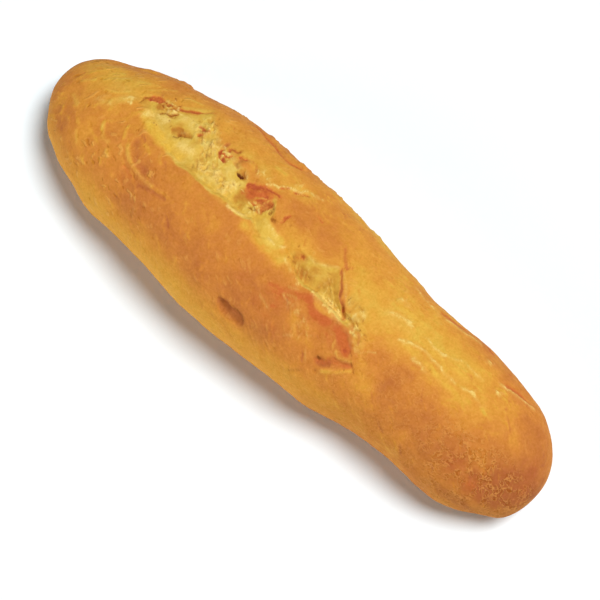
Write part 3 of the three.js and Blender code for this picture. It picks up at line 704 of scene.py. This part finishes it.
# How brown the crust is: a middle value, and patches of (x, angle, reach along x, reach in degrees, amount).
# Angles go round the section: 0 is the far side, 90 the top, 180 the near side and 270 the sole.
BAKE_MIDDLE = 0.57
BAKE_PATCHES = {
    "pale top of the tail": (-80, 70, 18, 22, -0.45),
    "middle of the tail's near side": (-70, 135, 14, 20, -0.1),
    "brown band along the near side": (-40, 135, 30, 20, 0.25),
    "pale low near side": (-30, 180, 60, 30, -0.4),
    # The foot of the near side, browned further as painted shade where it meets the floor
    "painted shade at the foot of the near side": (-20, 197, 80, 9, 0.35),
    "gold beyond the first opening": (-30, 55, 28, 14, -0.3),
    "gold bridge between the openings": (3, 90, 8, 10, -0.4),
    "orange beyond the bridge": (3, 65, 10, 12, 0.1),
    "far edge behind the bridge": (12, 20, 20, 14, -0.4),
    "orange before the bridge": (2, 120, 12, 15, 0.15),
    "brown under the dent's far edge": (4, 145, 18, 18, 0.25),
    "pale under the ear": (25, 160, 24, 8, -0.1),
    "brown tip of the ear": (30, 108, 18, 8, 0.15),
    "gold beyond the crease": (32, 65, 20, 30, -0.2),
    "pale end of the crease": (40, 78, 10, 12, -0.15),
    "far edge by the crease": (45, 20, 12, 14, -0.2),
    "yellow top of the head": (60, 70, 25, 20, -0.4),
    "brown near side of the head": (72, 125, 22, 24, 0.25),
    "low near side of the head": (88, 155, 30, 20, 0.05),
    "far side of the head": (92, 55, 16, 22, 0.2),
    "dark end of the head": (98, 105, 14, 45, 0.4),
}
SOLE_BAKE = 0.75

# Values that marks add and the material reads, among them painted shade in sunken pits and inside the hole
COLOUR_NAMES = ("crumb", "torn", "tan", "red", "blush", "lemon", "pore", "hole", "pale")

# Where fine textures show, along X in millimetres or round the section in degrees, and how much
FRECKLE_START = (20, 40)
FRECKLE_FULL = (60, 88)
FRECKLE_SIDE = (80, 110)
FRECKLE_LEAST = 0.35
COMB_TURN = (92, 112)
GOLD_SIDE = (138, 172)
# The gold fades at the very foot of the near side as painted shade
GOLD_SHADED_FOOT = (182, 194)
GOLD_END = (15, 55)
GOLD_MOST = 0.5
GOLD_LOST_TO_FOOT_SHADE = 0.8
STROKE_TAIL = (-55, -30)
STROKE_HEAD = (40, 60)
STROKE_MOST = 1.2
STROKE_TAIL_LOSS = 0.8
STROKE_HEAD_LOSS = 0.2

# Where the sides swell or draw in: patches of (x, angle, reach along x, reach in degrees, millimetres)
SWELLS = {
    "far tail draws in": (-84, 15, 6, 30, -0.8),
    "far tail swells": (-70, 15, 6, 30, 0.7),
    "far side by the first opening": (-40, 15, 9, 30, 0.7),
    "far side by the bridge": (14, 15, 18, 30, 0.8),
    "far side of the neck": (60, 15, 9, 30, 1.1),
    "far side of the head": (89, 15, 6, 30, 0.9),
    "tip of the tail": (-91, 190, 5, 35, 1.2),
    "near tail draws in": (-74, 192, 6, 30, -0.7),
    "near tail swells": (-60, 192, 7, 30, 1),
    "near side by the first opening": (-34, 192, 10, 30, -0.7),
    "near side under the dent": (14, 192, 12, 30, -0.6),
    "near side under the pocket": (31, 192, 6, 30, 0.5),
    "near side of the neck": (58, 192, 14, 30, -0.8),
    "near side of the head": (92, 192, 6, 30, -0.9),
    "tip of the head": (98, 192, 4, 30, 1.6),
}


def slash_lines(x):
    """The lip, the foot of its face and the far line at each x, with small ragged steps."""
    ragged = np.stack([x, 0 * x, 0 * x], -1)
    lip = between(LIP_LINE, x) + layers_at(ragged, LIP_RAGGED)
    far = between(FAR_LINE, x) + layers_at(ragged, FAR_RAGGED)
    foot = lip + between(LIP_STEPS, x)
    return lip, foot, np.maximum(far, foot + LEAST_GAP)


def ring_places():
    """Ring places along X: even steps down the body, closing up round both ends."""
    body = LENGTH / 2 - END_LENGTH
    turns = np.arange(1, END_RINGS) / END_RINGS * math.pi / 2
    ends = body + END_LENGTH * np.sin(turns)
    runs = [np.arange(start, stop, step) for start, stop, step in BODY_RUNS]
    return np.concatenate([-ends[::-1], *runs, [body], ends])


def ring_angles(x):
    """Angles round each ring, with steps that fall on the far line, the foot of the lip and the lip."""
    section = Section(x)
    lip, foot, far = (section.angle_of(line, MOST_ACROSS) for line in slash_lines(x))
    lowest = np.minimum(1, section.waist / np.maximum(section.belly, section.waist))
    below = np.arcsin(lowest ** (SECTION_POWER / 2))
    stops = [-below, far, foot, lip, math.pi + below, 2 * math.pi - below]
    grades = {"far": FAR_GRADE, "near": NEAR_GRADE}
    columns = []
    for k, (name, count) in enumerate(RING_STEPS.items()):
        shares = (np.arange(count) / count) ** grades.get(name, 1)
        columns.append(stops[k][:, None] + (stops[k + 1] - stops[k])[:, None] * shares)
    return np.concatenate(columns, 1)


def base_form(x, angle):
    """Points of the smooth bread, and the outward direction in the plane of the section."""
    section = Section(x)
    c, s = np.cos(angle), np.sin(angle)
    power = 2 / SECTION_POWER
    y = section.middle + section.half_width * np.sign(c) * np.abs(c) ** power
    reach = np.where(s > 0, section.crown, section.belly)
    z = section.waist + reach * np.sign(s) * np.abs(s) ** power
    out_y, out_z = c / np.maximum(section.half_width, 1), s / np.maximum(section.crown, 1)
    size = np.hypot(out_y, out_z)
    return np.stack([x, y, z], -1), out_y / size, out_z / size, section


def on_tray(z):
    """Heights below the tray become the flat sole, eased over the blend radius."""
    eased = (z + SOLE_BLEND) ** 2 / (4 * SOLE_BLEND)
    return np.where(z <= -SOLE_BLEND, 0, np.where(z >= SOLE_BLEND, z, eased))


def slash_relief(x, y):
    """Height of the slash with its ear."""
    lip, foot, far = slash_lines(x)
    rise, drop = between(LIP_RISES, x), between(FLOOR_DROPS, x)
    far_rise = between(FAR_RISES, x)
    share = np.clip((y - foot) / (far - foot), 0, 1)
    floor = -drop + (far_rise + drop) * share**FLOOR_CURVE
    face = rise + (-drop - rise) * smooth(y, lip, foot)
    near = rise * hill(y - lip, EAR_REACH)
    beyond = far_rise * hill(y - far, FAR_REACH)
    return np.where(y <= lip, near, np.where(y <= foot, face, np.where(y <= far, floor, beyond)))


def opened_crumb(x, y):
    """How open the crumb is, from 0 to 1, with edges that are soft in some places and sharp in others."""
    lip, _, far = slash_lines(x)
    lip_soft, far_soft = between(LIP_SOFTS, x), between(FAR_SOFTS, x)
    from_lip = smooth(y - lip, LIP_SPLIT[0] * lip_soft, LIP_SPLIT[1] * lip_soft)
    from_far = smooth(far - y, -far_soft / 2, far_soft / 2)
    return smooth(between(FLOOR_DROPS, x), 0, 1) * from_lip * from_far


def add_marks(found, x, girth, wander, breaks):
    """Adds every mark to the found values, at places along X and round the girth, with ragged edges."""
    rings = x[:, 0]
    for run, reach, soft, broken, adds in MARKS:
        ends = [place[0] for place in run]
        margin = reach + MARK_MARGIN
        part = slice(*np.searchsorted(rings, [min(ends) - margin, max(ends) + margin]))
        distance = run_distance(run, x[part] + wander[0][part], girth[part] + wander[1][part])
        share = smooth(reach - distance, 0, reach * soft) * np.clip(1 + broken * breaks[part], 0, MOST_SHARE)
        for name, amount in adds.items():
            # Painted shade in pits takes the darkest mark instead of adding up.
            if name == "pore":
                found[name][part] = np.maximum(found[name][part], amount * share)
            else:
                found[name][part] += amount * share


def crumb_relief(points):
    """Height of torn crumb: thin walls round uneven hollows, and how much painted shade each place gets from
    lying in a hollow.
    """
    bent = points + np.stack([layers_at(points, bend) for bend in CRUMB_BENDS], -1)
    height = layers_at(points, CRUMB_SWELL)
    for most, size, seed in CRUMB_WALLS:
        walls = np.maximum(0, 1 - WALL_THINNESS * np.abs(noise_at(bent, size, seed)))
        height = height + most * (walls - WALL_MIDDLE)
    return height, HOLLOW_SHADE * smooth(-height, *HOLLOW_DEPTHS)


def patches_at(patches, x, angle):
    """The sum of soft patches at places along X and angles round the section."""
    degrees = np.degrees(angle)
    total = np.zeros(x.shape)
    for place, turn, reach, spread, amount in patches.values():
        total += amount * np.exp(-(((x - place) / reach) ** 2) - ((degrees - turn) / spread) ** 2)
    return total


def surface_values(points, x, girth, upper):
    """What the openings and the marks add at each point, with the torn crumb worked in."""
    wander = [layers_at(points, layers) for layers in WANDERS]
    found = {name: np.zeros(x.shape) for name in ("lift", "bake", *COLOUR_NAMES)}
    found["crumb"] += opened_crumb(x, points[..., 1] - OPENING_WANDER * wander[1]) * upper
    add_marks(found, x, girth, wander, layers_at(points, BREAKS))
    found["torn"] = np.clip(found["torn"], 0, 1) * np.clip(found["crumb"] * TORN_GAIN, 0, 1)
    rough = found["torn"] > LEAST_TORN
    torn = found["torn"][rough]
    # Hollows of the torn crumb are darkened as painted shade, and its crests paled as a painted highlight.
    crumbs, dark = crumb_relief(points[rough])
    found["lift"][rough] += torn * crumbs
    found["pore"][rough] = np.maximum(found["pore"][rough], torn * dark)
    found["pale"][rough] += torn * CREST_HIGHLIGHT * smooth(crumbs, *CREST_HEIGHTS)
    return found


def texture_zones(x, angle, crumb):
    """Where the head is freckled, strokes are combed the far way, the near side is gold but loses it at the
    foot as painted shade, and strokes show.
    """
    degrees = np.degrees(angle)
    freckle = FRECKLE_LEAST + (1 - FRECKLE_LEAST) * smooth(x, *FRECKLE_FULL)
    gold = GOLD_MOST * smooth(degrees, *GOLD_SIDE) * (1 - GOLD_LOST_TO_FOOT_SHADE * smooth(degrees, *GOLD_SHADED_FOOT))
    stroke = STROKE_MOST - STROKE_TAIL_LOSS * smooth(x, *STROKE_TAIL)
    stroke -= STROKE_HEAD_LOSS * smooth(x, *STROKE_HEAD)
    return {
        "freckle": freckle * smooth(x, *FRECKLE_START) * smooth(degrees, *FRECKLE_SIDE),
        "comb": 1 - smooth(degrees, *COMB_TURN),
        "gold": gold * (1 - smooth(x, *GOLD_END)),
        "stroke": stroke * (1 - np.clip(crumb, 0, 1)),
    }


def make_bread():
    """The whole bread as one fine mesh, in the form's own coordinates."""
    rings = ring_places()
    angle = ring_angles(rings)
    x = np.broadcast_to(rings[:, None], angle.shape).copy()
    points, out_y, out_z, section = base_form(x, angle)
    girth = section.half_width * angle
    upper = smooth(np.sin(angle), *SIDE_FADE)
    sole = smooth(-np.sin(angle), *SOLE_FADE)
    found = surface_values(points, x, girth, upper)

    slash = slash_relief(x, points[..., 1]) * upper
    lumps = LUMP_HEIGHT * waves(x, girth, LUMP_LENGTH) * upper
    lift = slash + found["lift"] + lumps + layers_at(points, GRAIN) + patches_at(SWELLS, x, angle)
    lift *= np.minimum(1, section.half_width / FULL_RELIEF_WIDTH) * (1 - sole)
    points[..., 1] += out_y * lift
    points[..., 2] = on_tray(points[..., 2] + out_z * lift)

    bake = BAKE_MIDDLE + patches_at(BAKE_PATCHES, x, angle) + found["bake"]
    channels = {name: found[name] for name in COLOUR_NAMES}
    channels["bake"] = bake + (SOLE_BAKE - bake) * sole
    channels.update(texture_zones(x, angle, found["crumb"]))
    channels = {name: np.clip(values, 0, 1) for name, values in channels.items()}
    channels["girth"] = girth
    return bread_mesh(points, channels)


def bread_mesh(points, channels):
    """One closed mesh from rings of points, with a tip at each end, and named values for each point."""
    rings, sides = points.shape[:2]
    tips = [(side * LENGTH / 2, SWAYS[k], WAIST_SHARE * HEIGHTS[k]) for side, k in ((-1, 0), (1, -1))]
    vertices = np.concatenate([points.reshape(-1, 3), tips])
    ring, side = np.meshgrid(np.arange(rings - 1), np.arange(sides), indexing="ij")
    following = (side + 1) % sides
    corners = [(ring, side), (ring, following), (ring + 1, following), (ring + 1, side)]
    quads = np.stack([row * sides + column for row, column in corners], -1).reshape(-1, 4)
    tail_tip, head_tip = rings * sides, rings * sides + 1
    last = (rings - 1) * sides
    caps = [(tail_tip, (k + 1) % sides, k) for k in range(sides)]
    caps += [(head_tip, last + k, last + (k + 1) % sides) for k in range(sides)]
    mesh = bpy.data.meshes.new("breadstick_crust")
    mesh.from_pydata((vertices * MM).tolist(), [], quads.tolist() + caps)
    mesh.polygons.foreach_set("use_smooth", [True] * len(mesh.polygons))
    for name, values in channels.items():
        ends = [values[0].mean(), values[-1].mean()]
        stored = mesh.attributes.new(name, "FLOAT", "POINT")
        stored.data.foreach_set("value", np.concatenate([values.ravel(), ends]).astype(np.float32))
    mesh.update()
    piece = bpy.data.objects.new("breadstick_crust", mesh)
    bpy.context.scene.collection.objects.link(piece)
    return piece


def centre_shift(piece):
    """How far the form's own coordinates move so that the piece shares the solid's centre."""
    places = np.empty(len(piece.data.vertices) * 3)
    piece.data.vertices.foreach_get("co", places)
    places = places.reshape(-1, 3)
    centre = (places.min(0) + places.max(0)) / 2
    return Vector(((CAD_LOW.x + CAD_HIGH.x) / 2 - centre[0], (CAD_LOW.y + CAD_HIGH.y) / 2 - centre[1], 0))


# The material. Colours are screen values from 0 to 255.
CRUST_TONES = [
    (0, (219, 170, 66)), (0.2, (221, 159, 59)), (0.4, (217, 145, 55)),
    (0.6, (207, 128, 53)), (0.8, (193, 114, 52)), (1, (178, 98, 51)),
]
CRUMB_TONES = [(0, (192, 126, 48)), (0.3, (207, 151, 58)), (0.55, (219, 174, 72)), (1, (235, 202, 108))]
RED_TONES = [(0, (212, 114, 50)), (0.5, (203, 104, 48)), (1, (180, 82, 42))]
BLUSH_TONE = (197, 99, 46)
LEMON_TONE = (230, 180, 67)
# Tones of the painted highlights on the strokes and on the head's curly lines
GLINT_TONE = (233, 168, 80)
WORM_HIGHLIGHT_TONE = (226, 154, 76)
GOLD_TONE = (232, 162, 58)
PALE_TONE = (239, 200, 110)
# Brown that sunken pits and pores are darkened to, as painted shade
PIT_SHADE_TONE = (150, 84, 26)
# Near-black red-brown of the painted shade inside the hole
HOLE_SHADE_TONE = (96, 38, 14)
# How the painted shade falls across red, green and blue
PAINTED_SHADE_TINT = (0.8, 1.2, 2.6)

# Noises of the material as (size in millimetres, detail, distortion): plain ones, and bent or drawn-out ones
NOISES = {
    "patches": (11, 3.0),
    "crumb": (5, 2.0),
    "mottle": (3.2, 4.0, 0.5),
    "pieces": (2.7, 0.0),
    "red": (1.6, 3.0),
    "specks": (1.5, 2.0, 1.0),
    "grain": (0.7, 3.0),
    "ragged": (0.6, 2.0),
}
LINE_NOISE = (1.1, 0.0)
FLAKE_NOISE = (1, 3.0, 1.0)
STREAK_NOISE = (1, 2.0, 0.6)

# Streaks and dashes as (degrees from X, length, width), and for dashes the share of cells that have one; the
# strokes carry a painted highlight and the cracks a painted shade
FLAKE_GRAIN = (47, 3, 1.6)
BLUSH_GRAIN = (-22, 4, 0.9)
NEAR_STROKES = (47, 6, 1.7, 0.35)
FAR_STROKES = (-40, 6, 1.7, 0.25)
CRACKS = (52, 4, 1.3, 0.15)
DASH_EDGE = (0.44, 0.2)
DASH_SHARE_BLEND = 0.1

# Curls as (size of the bends, how far they push), and curly lines on the head as (level, half width); the
# worm lines carry a painted highlight and the seam lines beside them a painted shade
STROKE_CURL = (4, 4.5)
LINE_CURL = (1.2, 1.2)
WORM_LINE = (0.5, 0.09)
SEAM_LINE = (0.66, 0.09)
LINE_CORE = 0.4
PIECE_EDGE = (0.36, 0.54)

# How much each texture swings the bake, the painted shade and the crumb, and how high it stands in
# millimetres
BAKE_SWINGS = {"patches": 0.45, "mottle": 0.35, "grain": 0.08}
GRAIN_SWING = 0.36
SPECK_SWING = 0.28
SHADE_ON_CRUMB = 0.8
SHADE_SHARES = {"cracks": -0.18, "seams": -0.18, "freckle": -0.02}
FLAKE_SWING = 1.7
CRUMB_SWING = 1.2
CRUMB_MIDDLE = 0.55
RED_SWING = 1.5
HIGHLIGHT_LINE_SHARE = 0.5
BUMP_HEIGHTS = {"grain": 0.1, "strokes": 0.16, "cracks": -0.12, "mottle": 0.2, "worms": 0.12}

# A crisp channel: swing and limits of its ragged edge, and the edge's share beside the soft channel
CRISP_SWING = 3
CRISP_EDGE = (0.25, 0.7)
CRISP_SHARE = 0.4

# Shine, from smooth to rough over the middle of the mottle
MOTTLE_MIDDLE = (0.3, 0.7)
ROUGHNESS = (0.65, 0.8)
SPECULAR = 0.08


def screen(tone):
    """A screen colour as the linear colour that sockets take."""
    shares = [value / 255 for value in tone]
    return (*[v / 12.92 if v <= 0.04045 else ((v + 0.055) / 1.055) ** 2.4 for v in shares], 1)


class Nodes:
    """Short ways to add nodes to one material. An input is a value or another node's output."""

    def __init__(self, name):
        self.material = bpy.data.materials.new(name)
        self.material.use_nodes = True
        self.tree = self.material.node_tree
        self.shader = self.tree.nodes["Principled BSDF"]

    def put(self, socket, value):
        """Sets a socket, or links it to an output."""
        if isinstance(value, bpy.types.NodeSocket):
            self.tree.links.new(value, socket)
        else:
            socket.default_value = value

    def add(self, kind, inputs, **settings):
        """A new node with its settings and inputs."""
        node = self.tree.nodes.new(kind)
        for name, value in settings.items():
            setattr(node, name, value)
        for name, value in inputs.items():
            self.put(node.inputs[name], value)
        return node

    def finish(self, inputs):
        """Sets the shader's inputs."""
        for name, value in inputs.items():
            self.put(self.shader.inputs[name], value)

    def channel(self, name):
        """A value stored on the mesh."""
        return self.add("ShaderNodeAttribute", {}, attribute_name=name).outputs["Fac"]

    def math(self, operation, a, b):
        return self.add("ShaderNodeMath", {0: a, 1: b}, operation=operation).outputs[0]

    def vector(self, operation, inputs):
        return self.add("ShaderNodeVectorMath", inputs, operation=operation).outputs[0]

    def range(self, value, low, high, to_low=0.0, to_high=1.0):
        """Eases a value between two limits."""
        inputs = {"Value": value, "From Min": low, "From Max": high, "To Min": to_low, "To Max": to_high}
        return self.add("ShaderNodeMapRange", inputs, interpolation_type="SMOOTHSTEP").outputs[0]

    def noise(self, place, size, detail=2.0, distortion=0.0):
        inputs = {"Vector": place, "Scale": 1 / size, "Detail": detail, "Distortion": distortion}
        return self.add("ShaderNodeTexNoise", inputs).outputs["Fac"]

    def blend(self, share, a, b):
        return self.add("ShaderNodeMix", {0: share, 2: a, 3: b}).outputs[0]

    def swing(self, texture, amount):
        """A texture as an even swing round nothing, up to about the amount either way."""
        return self.math("MULTIPLY", self.math("SUBTRACT", texture, 0.5), amount)

    def crisp(self, value, texture):
        """A channel with a crisp, ragged edge, mixed with its soft self."""
        uneven = self.math("MULTIPLY", value, self.math("ADD", self.swing(texture, CRISP_SWING), 1))
        return self.blend(CRISP_SHARE, value, self.range(uneven, *CRISP_EDGE))

    def dashes(self, place, turn, length, width, share):
        """Short separate dashes that run at an angle in degrees to X, in a share of their cells."""
        inputs = {"Vector": self.stretched(place, turn, length, width), "Scale": 1.0}
        cells = self.add("ShaderNodeTexVoronoi", inputs)
        drawn = self.add("ShaderNodeSeparateColor", {"Color": cells.outputs["Color"]}).outputs["Red"]
        there = self.range(drawn, share + DASH_SHARE_BLEND, share - DASH_SHARE_BLEND)
        return self.math("MULTIPLY", self.range(cells.outputs["Distance"], *DASH_EDGE), there)

    def contour(self, texture, level, half):
        """Thin curly lines where a texture passes a level."""
        away = self.math("ABSOLUTE", self.math("SUBTRACT", texture, level), 0)
        return self.range(away, half, half * LINE_CORE)

    def bent(self, place, size, amount):
        """Coordinates pushed about by noise of a size, so that what is drawn on them curls."""
        inputs = {"Vector": place, "Scale": 1 / size, "Detail": 1.0}
        texture = self.add("ShaderNodeTexNoise", inputs).outputs["Color"]
        push = self.vector("SUBTRACT", {0: texture, 1: (0.5, 0.5, 0.5)})
        push = self.vector("SCALE", {0: push, "Scale": amount})
        return self.vector("ADD", {0: place, 1: push})

    def stretched(self, place, turn, length, width):
        """Coordinates for streaks that run at an angle in degrees to X."""
        inputs = {"Vector": place, "Rotation": (0, 0, math.radians(turn)), "Scale": (length, width, width)}
        return self.add("ShaderNodeMapping", inputs, vector_type="TEXTURE").outputs[0]

    def mix(self, share, a, b):
        return self.add("ShaderNodeMix", {0: share, 6: a, 7: b}, data_type="RGBA").outputs[2]

    def ramp(self, value, tones):
        """A colour from tones at places between 0 and 1."""
        node = self.add("ShaderNodeValToRGB", {"Fac": value})
        stops = node.color_ramp.elements
        while len(stops) < len(tones):
            stops.new(0.5)
        for stop, (place, tone) in zip(stops, tones):
            stop.position = place
            stop.color = screen(tone)
        return node.outputs["Color"]


def crust_textures(nodes, place, unrolled):
    """Fine textures by name: plain noises, combed strokes, cracks, and curly lines on the head."""
    textures = {name: nodes.noise(place, *kind) for name, kind in NOISES.items()}
    stroke, freckle = nodes.channel("stroke"), nodes.channel("freckle")
    curled = nodes.bent(unrolled, *STROKE_CURL)
    near, far, cracks = [nodes.dashes(curled, *kind) for kind in (NEAR_STROKES, FAR_STROKES, CRACKS)]
    curls = nodes.noise(nodes.bent(place, *LINE_CURL), *LINE_NOISE)
    pieces = nodes.math("MULTIPLY", nodes.range(textures["pieces"], *PIECE_EDGE), freckle)
    return {
        **textures,
        "strokes": nodes.math("MULTIPLY", nodes.blend(nodes.channel("comb"), near, far), stroke),
        "cracks": nodes.math("MULTIPLY", cracks, stroke),
        "worms": nodes.math("MULTIPLY", nodes.contour(curls, *WORM_LINE), pieces),
        "seams": nodes.math("MULTIPLY", nodes.contour(curls, *SEAM_LINE), pieces),
        "freckle": freckle,
    }


def crust_colour(nodes, textures):
    """Brown from the bake and its mottling, gold low on the near side, with strokes and curly lines paled as
    painted highlights.
    """
    bake = nodes.channel("bake")
    for name, amount in BAKE_SWINGS.items():
        bake = nodes.math("ADD", bake, nodes.swing(textures[name], amount))
    colour = nodes.mix(nodes.channel("gold"), nodes.ramp(bake, CRUST_TONES), screen(GOLD_TONE))
    for name, tone in (("strokes", GLINT_TONE), ("worms", WORM_HIGHLIGHT_TONE)):
        colour = nodes.mix(nodes.math("MULTIPLY", textures[name], HIGHLIGHT_LINE_SHARE), colour, screen(tone))
    return colour


def crumb_colour(nodes, textures, unrolled):
    """Yellow crumb, uneven all over, and streaked where it is torn."""
    flakes = nodes.noise(nodes.stretched(unrolled, *FLAKE_GRAIN), *FLAKE_NOISE)
    light = nodes.math("MULTIPLY", nodes.swing(flakes, FLAKE_SWING), nodes.channel("torn"))
    light = nodes.math("ADD", light, nodes.swing(textures["crumb"], CRUMB_SWING))
    light = nodes.math("ADD", light, CRUMB_MIDDLE)
    return nodes.ramp(nodes.math("SUBTRACT", light, nodes.channel("tan")), CRUMB_TONES)


def marked_colour(nodes, colour, textures, unrolled):
    """A colour with what the marks lay over it, from blush to holes."""
    streaks = nodes.noise(nodes.stretched(unrolled, *BLUSH_GRAIN), *STREAK_NOISE)
    colour = nodes.mix(nodes.crisp(nodes.channel("blush"), streaks), colour, screen(BLUSH_TONE))
    colour = nodes.mix(nodes.channel("lemon"), colour, screen(LEMON_TONE))
    red = nodes.math("ADD", nodes.channel("red"), nodes.swing(textures["red"], RED_SWING))
    tones = {
        "pale": screen(PALE_TONE),
        "red": nodes.ramp(red, RED_TONES),
        "pore": screen(PIT_SHADE_TONE),
        # The inside of the hole is painted shade.
        "hole": screen(HOLE_SHADE_TONE),
    }
    for name, tone in tones.items():
        colour = nodes.mix(nodes.crisp(nodes.channel(name), textures["ragged"]), colour, tone)
    return colour


def fine_shade(nodes, textures):
    """Fine painted light and shade from grain, specks and cracks, a little weaker on the crumb."""
    specks = nodes.swing(textures["specks"], SPECK_SWING)
    shade = nodes.math("ADD", nodes.swing(textures["grain"], GRAIN_SWING), specks)
    shade = nodes.math("MULTIPLY", shade, nodes.range(nodes.channel("crumb"), 0, 1, 1, SHADE_ON_CRUMB))
    for name, amount in SHADE_SHARES.items():
        shade = nodes.math("ADD", shade, nodes.math("MULTIPLY", textures[name], amount))
    return shade


def bread_material():
    """Crust and crumb in one material, from the values stored on the mesh and from noise."""
    nodes = Nodes("baked_crust")
    place = nodes.add("ShaderNodeTexCoord", {}).outputs["Object"]
    place = nodes.vector("SCALE", {0: place, "Scale": 1 / MM})
    along_x = nodes.add("ShaderNodeSeparateXYZ", {0: place}).outputs["X"]
    unrolled = nodes.add("ShaderNodeCombineXYZ", {"X": along_x, "Y": nodes.channel("girth")}).outputs[0]
    textures = crust_textures(nodes, place, unrolled)

    colour = crust_colour(nodes, textures)
    colour = nodes.mix(nodes.channel("crumb"), colour, crumb_colour(nodes, textures, unrolled))
    colour = marked_colour(nodes, colour, textures, unrolled)
    tint = nodes.vector("MULTIPLY_ADD", {0: fine_shade(nodes, textures), 1: PAINTED_SHADE_TINT, 2: (1, 1, 1)})
    height = 0.0
    for name, amount in BUMP_HEIGHTS.items():
        height = nodes.math("ADD", nodes.math("MULTIPLY", textures[name], amount), height)
    bump = nodes.add("ShaderNodeBump", {"Height": height, "Distance": MM, "Strength": 1.0})
    nodes.finish({
        "Base Color": nodes.vector("MULTIPLY", {0: colour, 1: tint}),
        "Roughness": nodes.range(textures["mottle"], *MOTTLE_MIDDLE, *ROUGHNESS),
        "Specular IOR Level": SPECULAR,
        "Normal": bump.outputs[0],
    })
    return nodes.material


def add_camera(shift):
    """The camera, moved with the bread from the form's own coordinates."""
    azimuth, elevation = math.radians(CAMERA_AZIMUTH), math.radians(CAMERA_ELEVATION)
    back = Vector((
        math.sin(azimuth) * math.cos(elevation),
        -math.cos(azimuth) * math.cos(elevation),
        math.sin(elevation),
    ))
    data = bpy.data.cameras.new("camera")
    data.lens = CAMERA_LENS
    data.sensor_width = CAMERA_SENSOR
    data.clip_start, data.clip_end = CAMERA_CLIP
    camera = bpy.data.objects.new("camera", data)
    camera.location = Vector(CAMERA_AIM) * MM + shift + back * CAMERA_DISTANCE * MM
    camera.rotation_euler = (-back).to_track_quat("-Z", "Y").to_euler()
    bpy.context.scene.collection.objects.link(camera)
    bpy.context.scene.camera = camera


# The floor: a pale sheet, with a faint glow that keeps its white neutral
FLOOR_HALF = 3.0
FLOOR_LOOKS = {
    "Base Color": (0.955, 0.965, 0.98, 1),
    "Roughness": 0.8,
    "Emission Color": (0, 1, 1, 1),
    "Emission Strength": 0.024,
}


def add_floor():
    """The floor under the bread."""
    mesh = bpy.data.meshes.new("floor")
    corners = [(-1, -1), (1, -1), (1, 1), (-1, 1)]
    mesh.from_pydata([(x * FLOOR_HALF, y * FLOOR_HALF, 0) for x, y in corners], [], [(0, 1, 2, 3)])
    floor = bpy.data.objects.new("floor", mesh)
    bpy.context.scene.collection.objects.link(floor)
    nodes = Nodes("floor_white")
    nodes.finish(FLOOR_LOOKS)
    mesh.materials.append(nodes.material)


# Studio light: an even, faint glow from all round, and soft discs of (name, place, size, power, colour)
GLOW = (0.004, 0.004, 0.004, 1)
LAMPS = [
    ("key", (0.95, 0.76, 2.9), 1.75, 119, (0.923, 0.977, 1)),
    ("fill", (-1.1, -2.4, 0.72), 2.0, 40, (0.96, 1, 0.99)),
]


def add_lights():
    """The glow and the lamps, each turned to the bread."""
    world = bpy.data.worlds.new("studio")
    bpy.context.scene.world = world
    world.use_nodes = True
    glow = world.node_tree.nodes["Background"]
    glow.inputs["Color"].default_value = GLOW
    glow.inputs["Strength"].default_value = 1.0
    for name, place, size, power, colour in LAMPS:
        data = bpy.data.lights.new(name, "AREA")
        data.shape = "DISK"
        data.size = size
        data.energy = power
        data.color = colour
        lamp = bpy.data.objects.new(name, data)
        lamp.location = place
        lamp.rotation_euler = (-Vector(place)).to_track_quat("-Z", "Y").to_euler()
        bpy.context.scene.collection.objects.link(lamp)


scene = bpy.context.scene
scene.view_settings.view_transform = "Standard"
scene.view_settings.look = "None"

bread = make_bread()
shift = centre_shift(bread)
bread.data.transform(Matrix.Translation(shift))
bread.data.materials.append(bread_material())
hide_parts("breadstick")
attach(bread, "root")
add_camera(shift)
add_floor()
add_lights()
